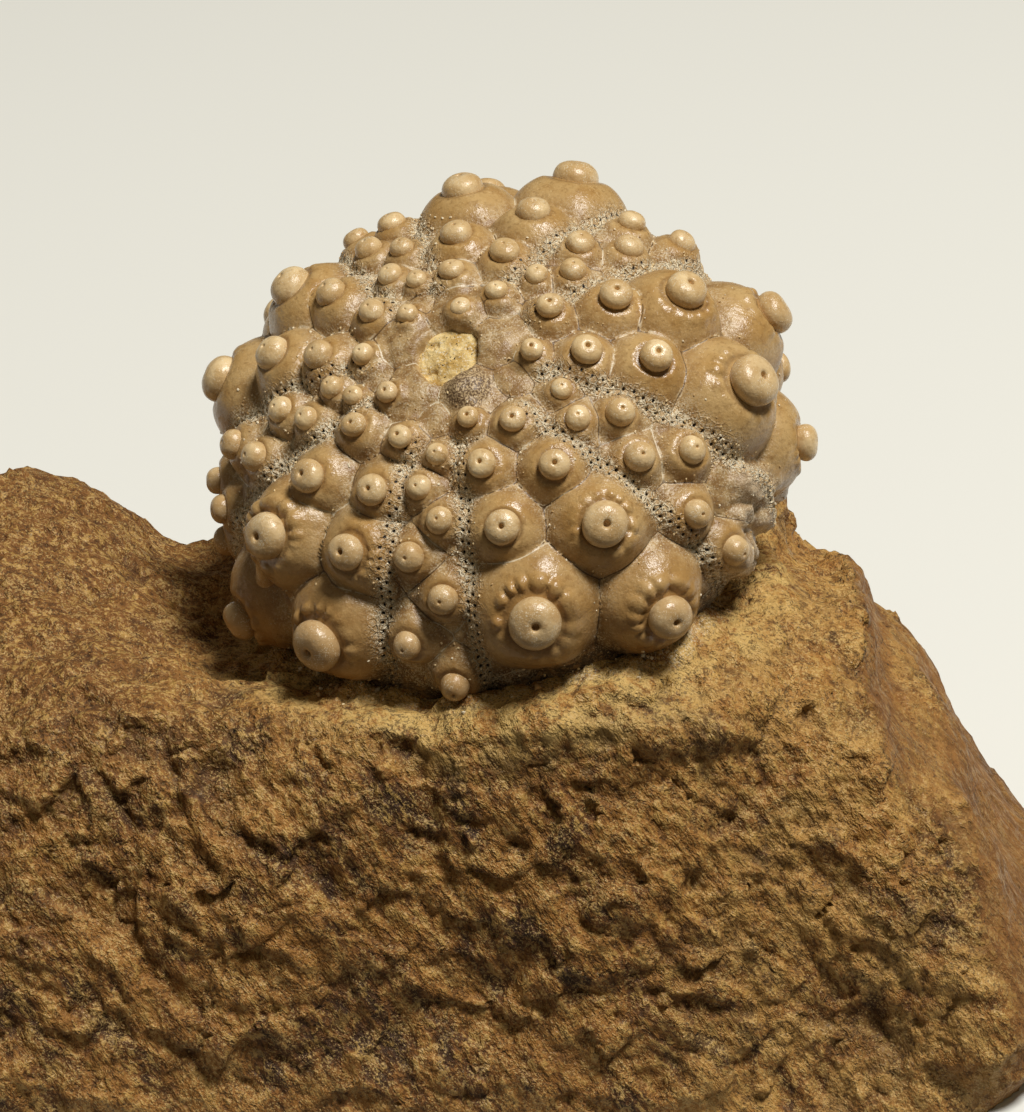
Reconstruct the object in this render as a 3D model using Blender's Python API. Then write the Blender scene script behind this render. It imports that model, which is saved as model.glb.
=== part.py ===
"""A fossil sea urchin, still set in the block of matrix rock that it was found in.

Units are metres and +Z is up. The front of the block faces -Y. The origin is at
the middle of the box round the whole part, on the flat base of the block.
"""

import math

import bmesh
import bpy
import numpy as np
from mathutils import Matrix, Vector, noise
from mathutils.bvhtree import BVHTree

# The test (the urchin's shell), between its tubercles.
TEST_RADIUS = 0.01835
APICAL_HEIGHT = 0.657 * TEST_RADIUS
ORAL_DEPTH = 0.50 * TEST_RADIUS
PROFILE_POWER = 0.947
TEST_SEGMENTS = 26
TEST_RINGS = 12

# How the test lies in the rock: its pole leans forward and to the left.
POLE_LEAN = math.radians(35.92)
POLE_HEADING = math.radians(-115.71)

# The five rays. Longitudes are round the pole, counter-clockwise seen from above it.
RAYS = 5
RAY_STEP = math.tau / RAYS
FIRST_RAY = math.radians(118.56)
COLUMN_OFFSET = math.radians(11.8)
AMBULACRAL_OFFSET = math.radians(4.5)

# Row number to colatitude in degrees, down an interambulacral column.
ROW_NUMBERS = (-0.5, 0, 0.5, 1, 1.5, 2, 2.5, 3, 3.5, 4, 5, 6)
ROW_COLATITUDES = (10.3, 15.2, 20.2, 26, 34, 40.4, 50.9, 63.6, 81.2, 93.6, 118, 140)
# Where each column starts, as (clockwise, counter-clockwise) of its ray.
ROW_PHASES = ((0, 0.5), (0, -0.48), (-0.4, 0.1), (-0.33, 0.2), (-0.13, 0.4))

# The same for the narrow ambulacral columns between the rays.
AMB_ROW_NUMBERS = (-0.5, 0, 0.5, 1, 1.5, 2, 2.5, 3, 3.5, 4, 5)
AMB_ROW_COLATITUDES = (18.5, 22.9, 28.9, 36.2, 44.7, 54.8, 64.5, 74, 81.6, 97, 116)
AMB_ROW_PHASES = ((0.5, 0), (0.6, 0.1), (-0.1, 0.4), (0.15, -0.3), (0.38, -0.13))

# Tubercle sizes against colatitude in degrees: boss radius and mamelon radius.
BOSS_RULE = ((12, 15, 26, 40, 50, 60, 70, 95, 110, 140),
             (0.0010, 0.0011, 0.0015, 0.0020, 0.0029, 0.0039, 0.0036, 0.0033, 0.0028, 0.0018))
MAMELON_RULE = ((12, 15, 26, 40, 50, 60, 75, 82, 95, 140),
                (0.0007, 0.00075, 0.00105, 0.00125, 0.00145, 0.0017, 0.0016, 0.00145, 0.0012, 0.0010))
AMB_BOSS_RULE = ((19, 30, 60, 100, 140), (0.0008, 0.0012, 0.0016, 0.0017, 0.0010))
AMB_MAMELON_RULE = ((19, 23, 30, 45, 100, 140), (0.00057, 0.0008, 0.00095, 0.0011, 0.0011, 0.0007))
BOSS_SLOPE = 0.50              # height of a boss against its radius
PLATFORM_SHARE = 0.50          # least radius of a boss's flat top, against its radius
PLATFORM_MARGIN = 1.14         # and against its mamelon's radius
BALL_WAIST = 0.40              # the mamelon's widest level and its height, against its radius
BALL_HEIGHT = 1.02
TUBERCLE_ROOT = 0.0010         # depth of a tubercle's foot inside the test
LARGE_BOSS = 0.0024            # bosses wider than this are turned with more detail
MEDIUM_BOSS = 0.0018

# The apical plates round the periproct, and the sediment that fills it.
PERIPROCT_RADIUS = 0.0022
PERIPROCT_DEPTH = 0.0013
PLATE_DISTANCE = 0.0034
PLATE_RADIUS = 0.00135
PLATE_HEIGHT = 0.00030
MADREPORITE_RAY = 4
MADREPORITE_RADIUS = 0.0017
MADREPORITE_HEIGHT = 0.00045

# A pillar of calcite from one mamelon down to the boss below it: (ray, side, row).
PILLAR_TOP = (3, -1, 3)
PILLAR_FOOT = (3, -1, 4)
PILLAR_RADIUS = 0.0007
PILLAR_SEGMENTS = 6

# The block, with heights and depths measured from the test's centre.
BASE_LEVEL = -0.0370
# Sections across the block: (x, ((y, z), ...)) from the back of the base, over the
# top, to the front of the base. The rock stands up behind the test to hold it.
SECTIONS = (
    (-0.0390, ((0.0130, BASE_LEVEL), (0.0140, -0.0250), (0.0110, -0.0135),
               (0.0050, -0.0098), (-0.0040, -0.0116), (-0.0120, -0.0150),
               (-0.0155, -0.0195), (-0.0185, -0.0260), (-0.0200, -0.0315),
               (-0.0210, BASE_LEVEL))),
    (-0.0360, ((0.0200, BASE_LEVEL), (0.0215, -0.0240), (0.0170, -0.0104),
               (0.0100, -0.0067), (-0.0030, -0.0089), (-0.0130, -0.0120),
               (-0.0175, -0.0160), (-0.0205, -0.0230), (-0.0225, -0.0300),
               (-0.0240, BASE_LEVEL))),
    (-0.0300, ((0.0220, BASE_LEVEL), (0.0240, -0.0230), (0.0180, -0.0114),
               (0.0100, -0.0080), (-0.0020, -0.0096), (-0.0135, -0.0108),
               (-0.0180, -0.0148), (-0.0210, -0.0220), (-0.0230, -0.0300),
               (-0.0245, BASE_LEVEL))),
    (-0.0250, ((0.0220, BASE_LEVEL), (0.0242, -0.0230), (0.0180, -0.0132),
               (0.0100, -0.0110), (-0.0015, -0.0118), (-0.0138, -0.0103),
               (-0.0178, -0.0139), (-0.0208, -0.0218), (-0.0230, -0.0300),
               (-0.0246, BASE_LEVEL))),
    (-0.0200, ((0.0220, BASE_LEVEL), (0.0244, -0.0230), (0.0190, -0.0130),
               (0.0110, -0.0126), (-0.0010, -0.0134), (-0.0142, -0.0103),
               (-0.0182, -0.0130), (-0.0212, -0.0216), (-0.0233, -0.0300),
               (-0.0247, BASE_LEVEL))),
    (-0.0120, ((0.0220, BASE_LEVEL), (0.0246, -0.0220), (0.0215, -0.0075),
               (0.0140, -0.0036), (-0.0010, -0.0120), (-0.0147, -0.0103),
               (-0.0188, -0.0120), (-0.0217, -0.0210), (-0.0238, -0.0296),
               (-0.0249, BASE_LEVEL))),
    (-0.0030, ((0.0220, BASE_LEVEL), (0.0248, -0.0220), (0.0225, -0.0040),
               (0.0155, 0.0008), (0.0000, -0.0110), (-0.0144, -0.0099),
               (-0.0198, -0.0112), (-0.0223, -0.0204), (-0.0241, -0.0294),
               (-0.0250, BASE_LEVEL))),
    (0.0030, ((0.0220, BASE_LEVEL), (0.0248, -0.0220), (0.0225, -0.0036),
               (0.0156, 0.0018), (0.0000, -0.0100), (-0.0142, -0.0074),
               (-0.0204, -0.0106), (-0.0226, -0.0202), (-0.0243, -0.0294),
               (-0.0251, BASE_LEVEL))),
    (0.0080, ((0.0220, BASE_LEVEL), (0.0246, -0.0220), (0.0222, -0.0030),
               (0.0158, 0.0030), (0.0000, -0.0090), (-0.0136, -0.0060),
               (-0.0198, -0.0098), (-0.0222, -0.0204), (-0.0240, -0.0296),
               (-0.0249, BASE_LEVEL))),
    (0.0140, ((0.0215, BASE_LEVEL), (0.0238, -0.0230), (0.0205, -0.0070),
               (0.0140, -0.0010), (0.0000, -0.0085), (-0.0125, -0.0058),
               (-0.0186, -0.0096), (-0.0213, -0.0210), (-0.0234, -0.0300),
               (-0.0246, BASE_LEVEL))),
    (0.0183, ((0.0208, BASE_LEVEL), (0.0228, -0.0240), (0.0190, -0.0105),
               (0.0120, -0.0056), (0.0040, -0.0062), (-0.0105, -0.0074),
               (-0.0172, -0.0106), (-0.0208, -0.0218), (-0.0232, -0.0300),
               (-0.0245, BASE_LEVEL))),
    (0.0208, ((0.0200, BASE_LEVEL), (0.0218, -0.0250), (0.0170, -0.0140),
               (0.0095, -0.0110), (0.0030, -0.0097), (-0.0090, -0.0088),
               (-0.0166, -0.0112), (-0.0206, -0.0220), (-0.0229, -0.0300),
               (-0.0242, BASE_LEVEL))),
    (0.0242, ((0.0185, BASE_LEVEL), (0.0200, -0.0265), (0.0150, -0.0165),
               (0.0070, -0.0106), (0.0010, -0.0085), (-0.0080, -0.0090),
               (-0.0160, -0.0124), (-0.0206, -0.0220), (-0.0229, -0.0300),
               (-0.0240, BASE_LEVEL))),
    (0.0258, ((0.0175, BASE_LEVEL), (0.0190, -0.0275), (0.0140, -0.0180),
               (0.0060, -0.0144), (0.0000, -0.0132), (-0.0080, -0.0132),
               (-0.0165, -0.0152), (-0.0206, -0.0226), (-0.0229, -0.0300),
               (-0.0240, BASE_LEVEL))),
    (0.0300, ((0.0155, BASE_LEVEL), (0.0165, -0.0295), (0.0115, -0.0210),
               (0.0040, -0.0168), (-0.0020, -0.0154), (-0.0085, -0.0166),
               (-0.0165, -0.0200), (-0.0206, -0.0250), (-0.0228, -0.0310),
               (-0.0237, BASE_LEVEL))),
    (0.0330, ((0.0130, BASE_LEVEL), (0.0135, -0.0320), (0.0095, -0.0265),
               (0.0020, -0.0230), (-0.0040, -0.0226), (-0.0100, -0.0238),
               (-0.0155, -0.0260), (-0.0186, -0.0290), (-0.0208, -0.0330),
               (-0.0216, BASE_LEVEL))),
    (0.0355, ((0.0095, BASE_LEVEL), (0.0097, -0.0342), (0.0075, -0.0310),
               (0.0015, -0.0290), (-0.0040, -0.0286), (-0.0095, -0.0296),
               (-0.0135, -0.0314), (-0.0160, -0.0334), (-0.0174, -0.0352),
               (-0.0180, BASE_LEVEL))),
    (0.0378, ((0.0050, BASE_LEVEL), (0.0052, -0.0362), (0.0040, -0.0349),
               (0.0000, -0.0339), (-0.0040, -0.0337), (-0.0070, -0.0342),
               (-0.0095, -0.0349), (-0.0112, -0.0356), (-0.0120, -0.0363),
               (-0.0124, BASE_LEVEL))),
)
ROCK_STATIONS = 40             # sections after smoothing
ROCK_POINTS = 23               # points over each section
ROCK_LUMP = 0.0011             # height of the broad lumps on the broken faces
ROCK_LUMP_SPAN = 0.0110        # distance from one lump to the next
NOISE_SHIFT = Vector((3.7, 1.9, 8.3))

# Space between pieces that touch.
GAP = 0.0003
CLEARANCE_BOSS = 0.00045

COLOURS = {
    "urchin_test": ((0.43, 0.27, 0.15), 0.45),
    "matrix_rock": ((0.25, 0.14, 0.05), 0.85),
    "periproct_sediment": ((0.62, 0.44, 0.20), 0.90),
}


def clear_scene():
    for item in list(bpy.data.objects):
        bpy.data.objects.remove(item, do_unlink=True)


def material(name):
    colour, roughness = COLOURS[name]
    made = bpy.data.materials.new(name)
    made.use_nodes = True
    shader = made.node_tree.nodes["Principled BSDF"]
    shader.inputs["Base Color"].default_value = (*colour, 1.0)
    shader.inputs["Roughness"].default_value = roughness
    shader.inputs["Metallic"].default_value = 0.0
    return made


def add_object(name, bm, smooth=False):
    mesh = bpy.data.meshes.new(name)
    bmesh.ops.recalc_face_normals(bm, faces=bm.faces)
    bm.to_mesh(mesh)
    bm.free()
    if smooth:
        mesh.shade_smooth()
        mesh.set_sharp_from_angle(angle=math.radians(40))
    if name in COLOURS:
        mesh.materials.append(material(name))
    made = bpy.data.objects.new(name, mesh)
    bpy.context.scene.collection.objects.link(made)
    return made


def make_guide(item):
    item.hide_render = True
    item.display_type = "WIRE"
    return item


def add_boolean(item, operation, other):
    step = item.modifiers.new(other.name, "BOOLEAN")
    step.operation = operation
    step.object = other
    step.solver = "EXACT"
    step.use_self = True


# ---------------------------------------------------------------- the test's form

def signed_power(value):
    return math.copysign(abs(value) ** PROFILE_POWER, value)


def test_frame():
    return Matrix.Rotation(POLE_HEADING, 4, "Z") @ Matrix.Rotation(POLE_LEAN, 4, "Y")


def profile(colatitude, grow=0.0):
    """Radius and height of the test at a colatitude, grown outward by grow."""
    height = APICAL_HEIGHT if colatitude < math.pi / 2 else ORAL_DEPTH
    radial = (TEST_RADIUS + grow) * signed_power(math.sin(colatitude))
    axial = (height + grow) * signed_power(math.cos(colatitude))
    return radial, axial


def surface_matrix(colatitude, longitude):
    """A frame on the test: its origin on the surface, its Z axis pointing out."""
    radial, axial = profile(colatitude)
    step = 0.002
    before = Vector(profile(colatitude - step))
    after = Vector(profile(colatitude + step))
    run = after - before
    outward = Vector((-run.y, run.x)).normalized()
    tilt = math.atan2(outward.x, outward.y)
    place = Vector((radial * math.cos(longitude), radial * math.sin(longitude), axial))
    turn = Matrix.Rotation(longitude, 4, "Z") @ Matrix.Rotation(tilt, 4, "Y")
    return test_frame() @ Matrix.Translation(place) @ turn


def turned(bm, outline, segments, frame):
    """Turn an outline of (radius, height), foot first and tip on the axis, into a closed form."""
    rings = []
    for radius, height in outline[:-1]:
        ring = []
        for index in range(segments):
            angle = math.tau * index / segments
            spot = Vector((radius * math.cos(angle), radius * math.sin(angle), height))
            ring.append(bm.verts.new(frame @ spot))
        rings.append(ring)
    tip = bm.verts.new(frame @ Vector((0.0, 0.0, outline[-1][1])))
    bm.faces.new(list(reversed(rings[0])))
    for low, high in zip(rings, rings[1:]):
        for index in range(segments):
            following = (index + 1) % segments
            bm.faces.new((low[index], low[following], high[following], high[index]))
    for index in range(segments):
        bm.faces.new((rings[-1][index], rings[-1][(index + 1) % segments], tip))


def test_body(grow=0.0):
    """The bare test as a closed turned form, apex first."""
    bm = bmesh.new()
    outline = [profile(math.pi * (1 - index / TEST_RINGS), grow) for index in range(1, TEST_RINGS + 1)]
    turned(bm, outline, TEST_SEGMENTS, test_frame())
    return bm


# ---------------------------------------------------------------- tubercles

class Tubercle:
    """One tubercle: a steep boss with a flat top, and the mamelon, a ball sunk in it."""

    def __init__(self, place, colatitude, longitude, boss, mamelon):
        self.place = place
        self.boss = boss
        self.mamelon = mamelon
        self.dome = BOSS_SLOPE * boss
        self.frame = surface_matrix(math.radians(colatitude), longitude)

    def ball_centre(self):
        return self.frame @ Vector((0.0, 0.0, self.dome + BALL_WAIST * self.mamelon))

    def outline(self, grow=0.0):
        """Turned outline of (radius, height), from the buried foot to the tip."""
        foot = (self.boss + grow, -TUBERCLE_ROOT)
        flat = max(PLATFORM_SHARE * self.boss, PLATFORM_MARGIN * self.mamelon)
        platform = (flat + grow, self.dome + grow)
        waist = (self.mamelon + grow, self.dome + BALL_WAIST * self.mamelon + grow)
        crown = (0.70 * self.mamelon + grow, self.dome + 0.86 * self.mamelon + grow)
        tip = (0.0, self.dome + BALL_HEIGHT * self.mamelon + grow)
        if self.boss < MEDIUM_BOSS:
            return [foot, platform, waist, tip]
        if self.boss < LARGE_BOSS:
            return [foot, platform, waist, crown, tip]
        shoulder = (0.82 * self.boss + grow, 0.50 * self.dome + grow)
        neck = (0.88 * self.mamelon + grow, self.dome + grow)
        return [foot, shoulder, platform, neck, waist, crown, tip]

    def segments(self):
        return 6 if self.boss < LARGE_BOSS else 8


def columns(offset, rows, colatitudes, phases, sizes, first):
    """All the tubercles of the ten columns that share one row rule."""
    boss_rule, mamelon_rule = sizes
    made = []
    for ray in range(RAYS):
        middle = first + ray * RAY_STEP
        for side, phase in zip((-1, 1), phases[ray]):
            for row in range(int(rows[-1]) + 1):
                number = row + phase
                if not rows[0] <= number <= rows[-1]:
                    continue
                colatitude = float(np.interp(number, rows, colatitudes))
                boss = float(np.interp(colatitude, *boss_rule))
                mamelon = float(np.interp(colatitude, *mamelon_rule))
                place = (ray, side, row)
                made.append(Tubercle(place, colatitude, middle + side * offset, boss, mamelon))
    return made


def wide_columns():
    return columns(COLUMN_OFFSET, ROW_NUMBERS, ROW_COLATITUDES, ROW_PHASES,
                   (BOSS_RULE, MAMELON_RULE), FIRST_RAY)


def narrow_columns():
    return columns(AMBULACRAL_OFFSET, AMB_ROW_NUMBERS, AMB_ROW_COLATITUDES, AMB_ROW_PHASES,
                   (AMB_BOSS_RULE, AMB_MAMELON_RULE), FIRST_RAY - RAY_STEP / 2)


def apical_plate(bm, ray):
    """A low pad beside the periproct. One of them, the madreporite, is larger."""
    radius, height = PLATE_RADIUS, PLATE_HEIGHT
    if ray == MADREPORITE_RAY:
        radius, height = MADREPORITE_RADIUS, MADREPORITE_HEIGHT
    colatitude = math.asin((PLATE_DISTANCE / TEST_RADIUS) ** (1 / PROFILE_POWER))
    frame = surface_matrix(colatitude, FIRST_RAY + ray * RAY_STEP)
    outline = [(1.15 * radius, -TUBERCLE_ROOT), (0.8 * radius, height), (0.0, 1.25 * height)]
    turned(bm, outline, 6, frame)


def pillar(bm, tubercles):
    """The waisted pillar between two tubercles of one column."""
    places = {one.place: one for one in tubercles}
    top, foot = places[PILLAR_TOP], places[PILLAR_FOOT]
    high = top.ball_centre()
    low = foot.frame @ Vector((0.0, 0.0, 0.0))
    run = high - low
    frame = Matrix.Translation(low) @ run.to_track_quat("Z", "Y").to_matrix().to_4x4()
    outline = [(1.6 * PILLAR_RADIUS, 0.0), (PILLAR_RADIUS, 0.6 * run.length),
               (1.3 * PILLAR_RADIUS, 0.95 * run.length), (0.0, run.length)]
    turned(bm, outline, PILLAR_SEGMENTS, frame)


# ---------------------------------------------------------------- the block

def smooth_through(points, amount):
    """Evenly numbered points on a Catmull-Rom curve through the given points."""
    points = np.asarray(points, dtype=float)
    last = len(points) - 1
    made = []
    for spot in np.linspace(0, last, amount):
        index = min(int(spot), last - 1)
        part = spot - index
        before = points[max(index - 1, 0)]
        start, end = points[index], points[index + 1]
        after = points[min(index + 2, last)]
        made.append(0.5 * (2 * start + (end - before) * part
                           + (2 * before - 5 * start + 4 * end - after) * part ** 2
                           + (3 * start - before - 3 * end + after) * part ** 3))
    return np.array(made)


def lump(spot):
    """How far the broken face stands out at a point of the block."""
    broad = noise.noise(spot / ROCK_LUMP_SPAN + NOISE_SHIFT)
    fine = noise.noise(spot / (0.4 * ROCK_LUMP_SPAN) + NOISE_SHIFT)
    return ROCK_LUMP * (broad + 0.45 * fine)


def block_mesh():
    """The block before the test's socket is cut: smoothed sections with a flat base."""
    table = [[(place, *point) for point in section] for place, section in SECTIONS]
    along = [smooth_through(row, ROCK_STATIONS) for row in zip(*table)]
    bm = bmesh.new()
    rings = []
    for station in range(ROCK_STATIONS):
        outline = smooth_through([row[station] for row in along], ROCK_POINTS)
        rings.append([bm.verts.new(Vector(point)) for point in outline])
    for one, other in zip(rings, rings[1:]):
        for index in range(ROCK_POINTS - 1):
            bm.faces.new((one[index], one[index + 1], other[index + 1], other[index]))
        bm.faces.new((one[-1], one[0], other[0], other[-1]))
    bm.faces.new(rings[0])
    bm.faces.new(list(reversed(rings[-1])))
    bmesh.ops.recalc_face_normals(bm, faces=bm.faces)
    bm.normal_update()
    base = {vert for ring in rings for vert in (ring[0], ring[-1])}
    moves = {vert: vert.normal * lump(vert.co) for vert in bm.verts if vert not in base}
    for vert, move in moves.items():
        vert.co += move
    for vert in base:
        vert.co.z = BASE_LEVEL
    return bm


def inside(tree, spot):
    """Depth of a point inside a closed mesh, negative when it is outside."""
    nearest, normal, _, distance = tree.find_nearest(spot)
    return math.copysign(distance, (nearest - spot).dot(normal))


def clear_of_rock(tree, tubercle):
    """True where a tubercle's ball stands out of the block. The others are left out."""
    return inside(tree, tubercle.ball_centre()) < 0.2 * tubercle.mamelon


# ---------------------------------------------------------------- assembly

def build_pieces():
    block = block_mesh()
    tree = BVHTree.FromBMesh(block)
    wide = [one for one in wide_columns() if clear_of_rock(tree, one)]
    narrow = [one for one in narrow_columns() if clear_of_rock(tree, one)]
    tubercles = wide + narrow

    lumps = bmesh.new()
    for one in tubercles:
        turned(lumps, one.outline(), one.segments(), one.frame)
    pillar(lumps, wide)
    for ray in range(RAYS):
        apical_plate(lumps, ray)
    test = add_object("urchin_test", test_body(), smooth=True)
    add_boolean(test, "UNION", make_guide(add_object("tubercle_guide", lumps)))

    centre = surface_matrix(0.0, 0.0)
    hole = bmesh.new()
    hole_outline = [(PERIPROCT_RADIUS, -PERIPROCT_DEPTH), (PERIPROCT_RADIUS, PERIPROCT_DEPTH),
                    (0.0, PERIPROCT_DEPTH)]
    turned(hole, hole_outline, 16, centre)
    add_boolean(test, "DIFFERENCE", make_guide(add_object("periproct_cutter", hole)))

    plug = bmesh.new()
    plug_radius = PERIPROCT_RADIUS - GAP
    plug_outline = [(plug_radius, GAP - PERIPROCT_DEPTH), (plug_radius, -0.35 * PERIPROCT_DEPTH),
                    (0.6 * plug_radius, -0.05 * PERIPROCT_DEPTH), (0.0, 0.0)]
    turned(plug, plug_outline, 14, centre)
    add_object("periproct_sediment", plug, smooth=True)

    rock = add_object("matrix_rock", block, smooth=True)
    socket = make_guide(add_object("socket_cutter", test_body(grow=1.6 * GAP)))
    add_boolean(rock, "DIFFERENCE", socket)
    room = bmesh.new()
    for one in tubercles:
        if inside(tree, one.ball_centre()) > -1.6 * one.boss:
            turned(room, one.outline(CLEARANCE_BOSS), one.segments() + 1, one.frame)
    add_boolean(rock, "DIFFERENCE", make_guide(add_object("tubercle_clearance", room)))


def settle():
    """Move everything so that the origin is at the bottom centre of the box round it."""
    bpy.context.view_layer.update()
    graph = bpy.context.evaluated_depsgraph_get()
    spots = []
    for item in bpy.context.scene.objects:
        if not item.hide_render:
            mesh = item.evaluated_get(graph).to_mesh()
            spots.extend(item.matrix_world @ vert.co for vert in mesh.vertices)
    low = np.min(spots, axis=0)
    high = np.max(spots, axis=0)
    shift = Vector((-(low[0] + high[0]) / 2, -(low[1] + high[1]) / 2, -low[2]))
    for item in bpy.context.scene.objects:
        item.location += shift
    bpy.context.view_layer.update()


clear_scene()
build_pieces()
settle()
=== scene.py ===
"""Finish of a fossil sea urchin and the matrix rock that it is set in.

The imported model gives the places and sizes. This script dresses it: the test gets its
plates, sutures, pores and crenulated bosses, each tubercle its pierced mamelon, the pore
zones their grit, and the block its broken faces.
"""

import math

import bmesh
import bpy
import numpy as np
from mathutils import Matrix, Vector
from mathutils.bvhtree import BVHTree
from mathutils.geometry import delaunay_2d_cdt
from mathutils.kdtree import KDTree


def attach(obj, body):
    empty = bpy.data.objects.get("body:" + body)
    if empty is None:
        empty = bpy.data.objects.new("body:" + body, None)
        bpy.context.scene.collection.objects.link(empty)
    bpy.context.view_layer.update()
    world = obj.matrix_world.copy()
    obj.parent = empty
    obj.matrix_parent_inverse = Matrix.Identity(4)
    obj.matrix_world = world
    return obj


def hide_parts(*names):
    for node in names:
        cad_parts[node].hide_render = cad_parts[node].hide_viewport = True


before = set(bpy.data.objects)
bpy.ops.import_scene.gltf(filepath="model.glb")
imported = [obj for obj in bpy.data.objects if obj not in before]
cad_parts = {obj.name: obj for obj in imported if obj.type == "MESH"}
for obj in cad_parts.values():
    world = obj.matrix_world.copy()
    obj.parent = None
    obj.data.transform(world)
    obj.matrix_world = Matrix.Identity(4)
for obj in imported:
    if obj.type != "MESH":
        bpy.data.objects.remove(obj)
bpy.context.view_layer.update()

MM = 0.001

# ---- sizes

# The test's form and how it lies: its pole leans forward and to the left.
TEST_RADIUS = 18.35 * MM
APICAL_HEIGHT = 0.657 * TEST_RADIUS
ORAL_DEPTH = 0.50 * TEST_RADIUS
PROFILE_POWER = 0.947
POLE_LEAN = math.radians(35.92)
POLE_HEADING = math.radians(-115.71)

# The five rays, with longitudes round the pole.
RAYS = 5
RAY_STEP = math.tau / RAYS
FIRST_RAY = math.radians(118.56)
COLUMN_OFFSET = math.radians(11.8)
AMBULACRAL_OFFSET = math.radians(4.5)

# Row number to colatitude in degrees, and where the two columns of each ray start.
ROW_NUMBERS = (-0.5, 0, 0.5, 1, 1.5, 2, 2.5, 3, 3.5, 4, 5, 6)
ROW_COLATITUDES = (10.3, 15.2, 20.2, 26, 34, 40.4, 50.9, 63.6, 81.2, 93.6, 118, 140)
ROW_PHASES = ((0, 0.5), (0, -0.48), (-0.4, 0.1), (-0.33, 0.2), (-0.13, 0.4))
AMB_ROW_NUMBERS = (-0.5, 0, 0.5, 1, 1.5, 2, 2.5, 3, 3.5, 4, 5)
AMB_ROW_COLATITUDES = (18.5, 22.9, 28.9, 36.2, 44.7, 54.8, 64.5, 74, 81.6, 97, 116)
AMB_ROW_PHASES = ((0.5, 0), (0.6, 0.1), (-0.1, 0.4), (0.15, -0.3), (0.38, -0.13))

# Tubercle sizes in millimetres against colatitude in degrees.
BOSS_RULE = ((12, 15, 26, 34, 40, 50, 60, 70, 95, 110, 140),
             (1.0, 1.15, 1.7, 2.0, 2.35, 3.05, 3.9, 3.6, 3.3, 2.8, 1.8))
MAMELON_RULE = ((12, 15, 26, 34, 40, 50, 60, 75, 82, 95, 140),
                (0.70, 0.76, 0.98, 1.05, 1.12, 1.42, 1.70, 1.55, 1.42, 1.18, 1.00))
AMB_BOSS_RULE = ((19, 30, 60, 100, 140), (0.8, 1.2, 1.6, 1.7, 1.0))
AMB_MAMELON_RULE = ((19, 23, 30, 45, 100, 140), (0.56, 0.74, 0.84, 0.96, 1.0, 0.70))

# Single tubercles that stray from their columns, as colatitude and longitude in degrees.
# Tags count 40 to a ray and 20 to a column; the ambulacral ones start at 200.
STRAYS = {20: (0.4, 5), 22: (-1.3, -2.4), 40: (0.8, -9), 60: (0, -10), 62: (-3, -1), 80: (3, -12),
          83: (-4, 2), 100: (1.7, 4), 101: (1, 3), 120: (1.3, -6), 122: (0, 2.5), 123: (-2.8, 4),
          140: (1.2, 3.5), 141: (1.3, 3), 142: (0, 3.2), 143: (-2.4, 1.2), 183: (-1.6, -0.5),
          202: (0, -2), 203: (0, -1), 343: (4, 0), 362: (2.2, 0), 380: (-1.5, -2.5), 383: (4.8, -0.4)}
LOST = (204, 223, 224, 225, 243, 263, 363)      # broken off, or under the crust
PILLAR_ENDS = (123, 124)        # from one mamelon down to the boss below it
PILLAR_RADIUS = 0.7 * MM
RAY_BEADS = (0.6, 0.05, 0.2, 1.0, 1.0)          # how crisp each ray's crenulations still are
RAY_CAPS = (1.0, 0.88, 0.92, 1.0, 1.0)          # and how high its mamelons
AMB_CAPS = (1.05, 0.95, 0.92, 1.0, 1.08)

BOSS_SLOPE = 0.50               # height of a boss against its radius
BOSS_REACH = 1.14               # how far its foot runs out
PLATFORM_SHARE = 0.50           # least radius of its flat top, against its own radius
PLATFORM_MARGIN = 1.14          # and against its mamelon's
DOMED_BOSS = (2.2 * MM, 3.4 * MM)   # from a cone to a full dome
CRENULATIONS = 13
KNOB_RING = 1.28                # where the crenulations stand, against the mamelon's radius
PLATE_SWELL = 0.07 * MM         # how far a plate's middle stands over its edge
SUTURE_DEPTH = 0.13 * MM
SUTURE_WIDTH = 0.10 * MM
SUTURE_WANDER = 0.10 * MM

# Pore pairs beside the ambulacra: offset in degrees from the ambulacrum's middle.
PORE_OFFSET_RULE = ((15, 30, 45, 70, 120), (15.0, 13.2, 11.4, 10.2, 10.0))
PORE_ROW_STEP = 0.66 * MM
PORE_PAIR = 0.46 * MM
PORE_RADIUS = 0.10 * MM
PORE_DEPTH = 0.30 * MM
PORE_RIM = 0.07 * MM
PORE_ZONE = (math.radians(18), math.radians(118))

PERIPROCT_RADIUS = 2.05 * MM
PERIPROCT_DEPTH = 1.0 * MM
PERIPROCT_SHIFT = np.array((-0.40, -0.62)) * MM
PLATE_DISTANCE = 3.3 * MM
PLATE_RISE = 0.26 * MM
MADREPORITE_RAY = 4
MADREPORITE_RISE = 0.72 * MM

# Lumps of crust on the test, seen from the front: across, up, radius and height in mm.
CRUST_LUMPS = ((16.4, -1.9, 1.5, 0.9), (17.9, -4.1, 1.3, 0.9), (15.9, -3.9, 0.8, 0.6),
               (15.7, -6.6, 1.5, 0.9), (17.6, -7.3, 0.9, 0.7), (13.0, 14.3, 1.6, 0.5))

FINE_SPACING = 0.20 * MM        # mesh of the test on its seen side, and elsewhere
COARSE_SPACING = 0.50 * MM
KNOB_RINGS = (0.94, 1.03, 1.11, 1.19, 1.27, 1.35, 1.43, 1.52, 1.62)     # against the mamelon's radius
KNOB_SPACING = 0.165 * MM

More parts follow.
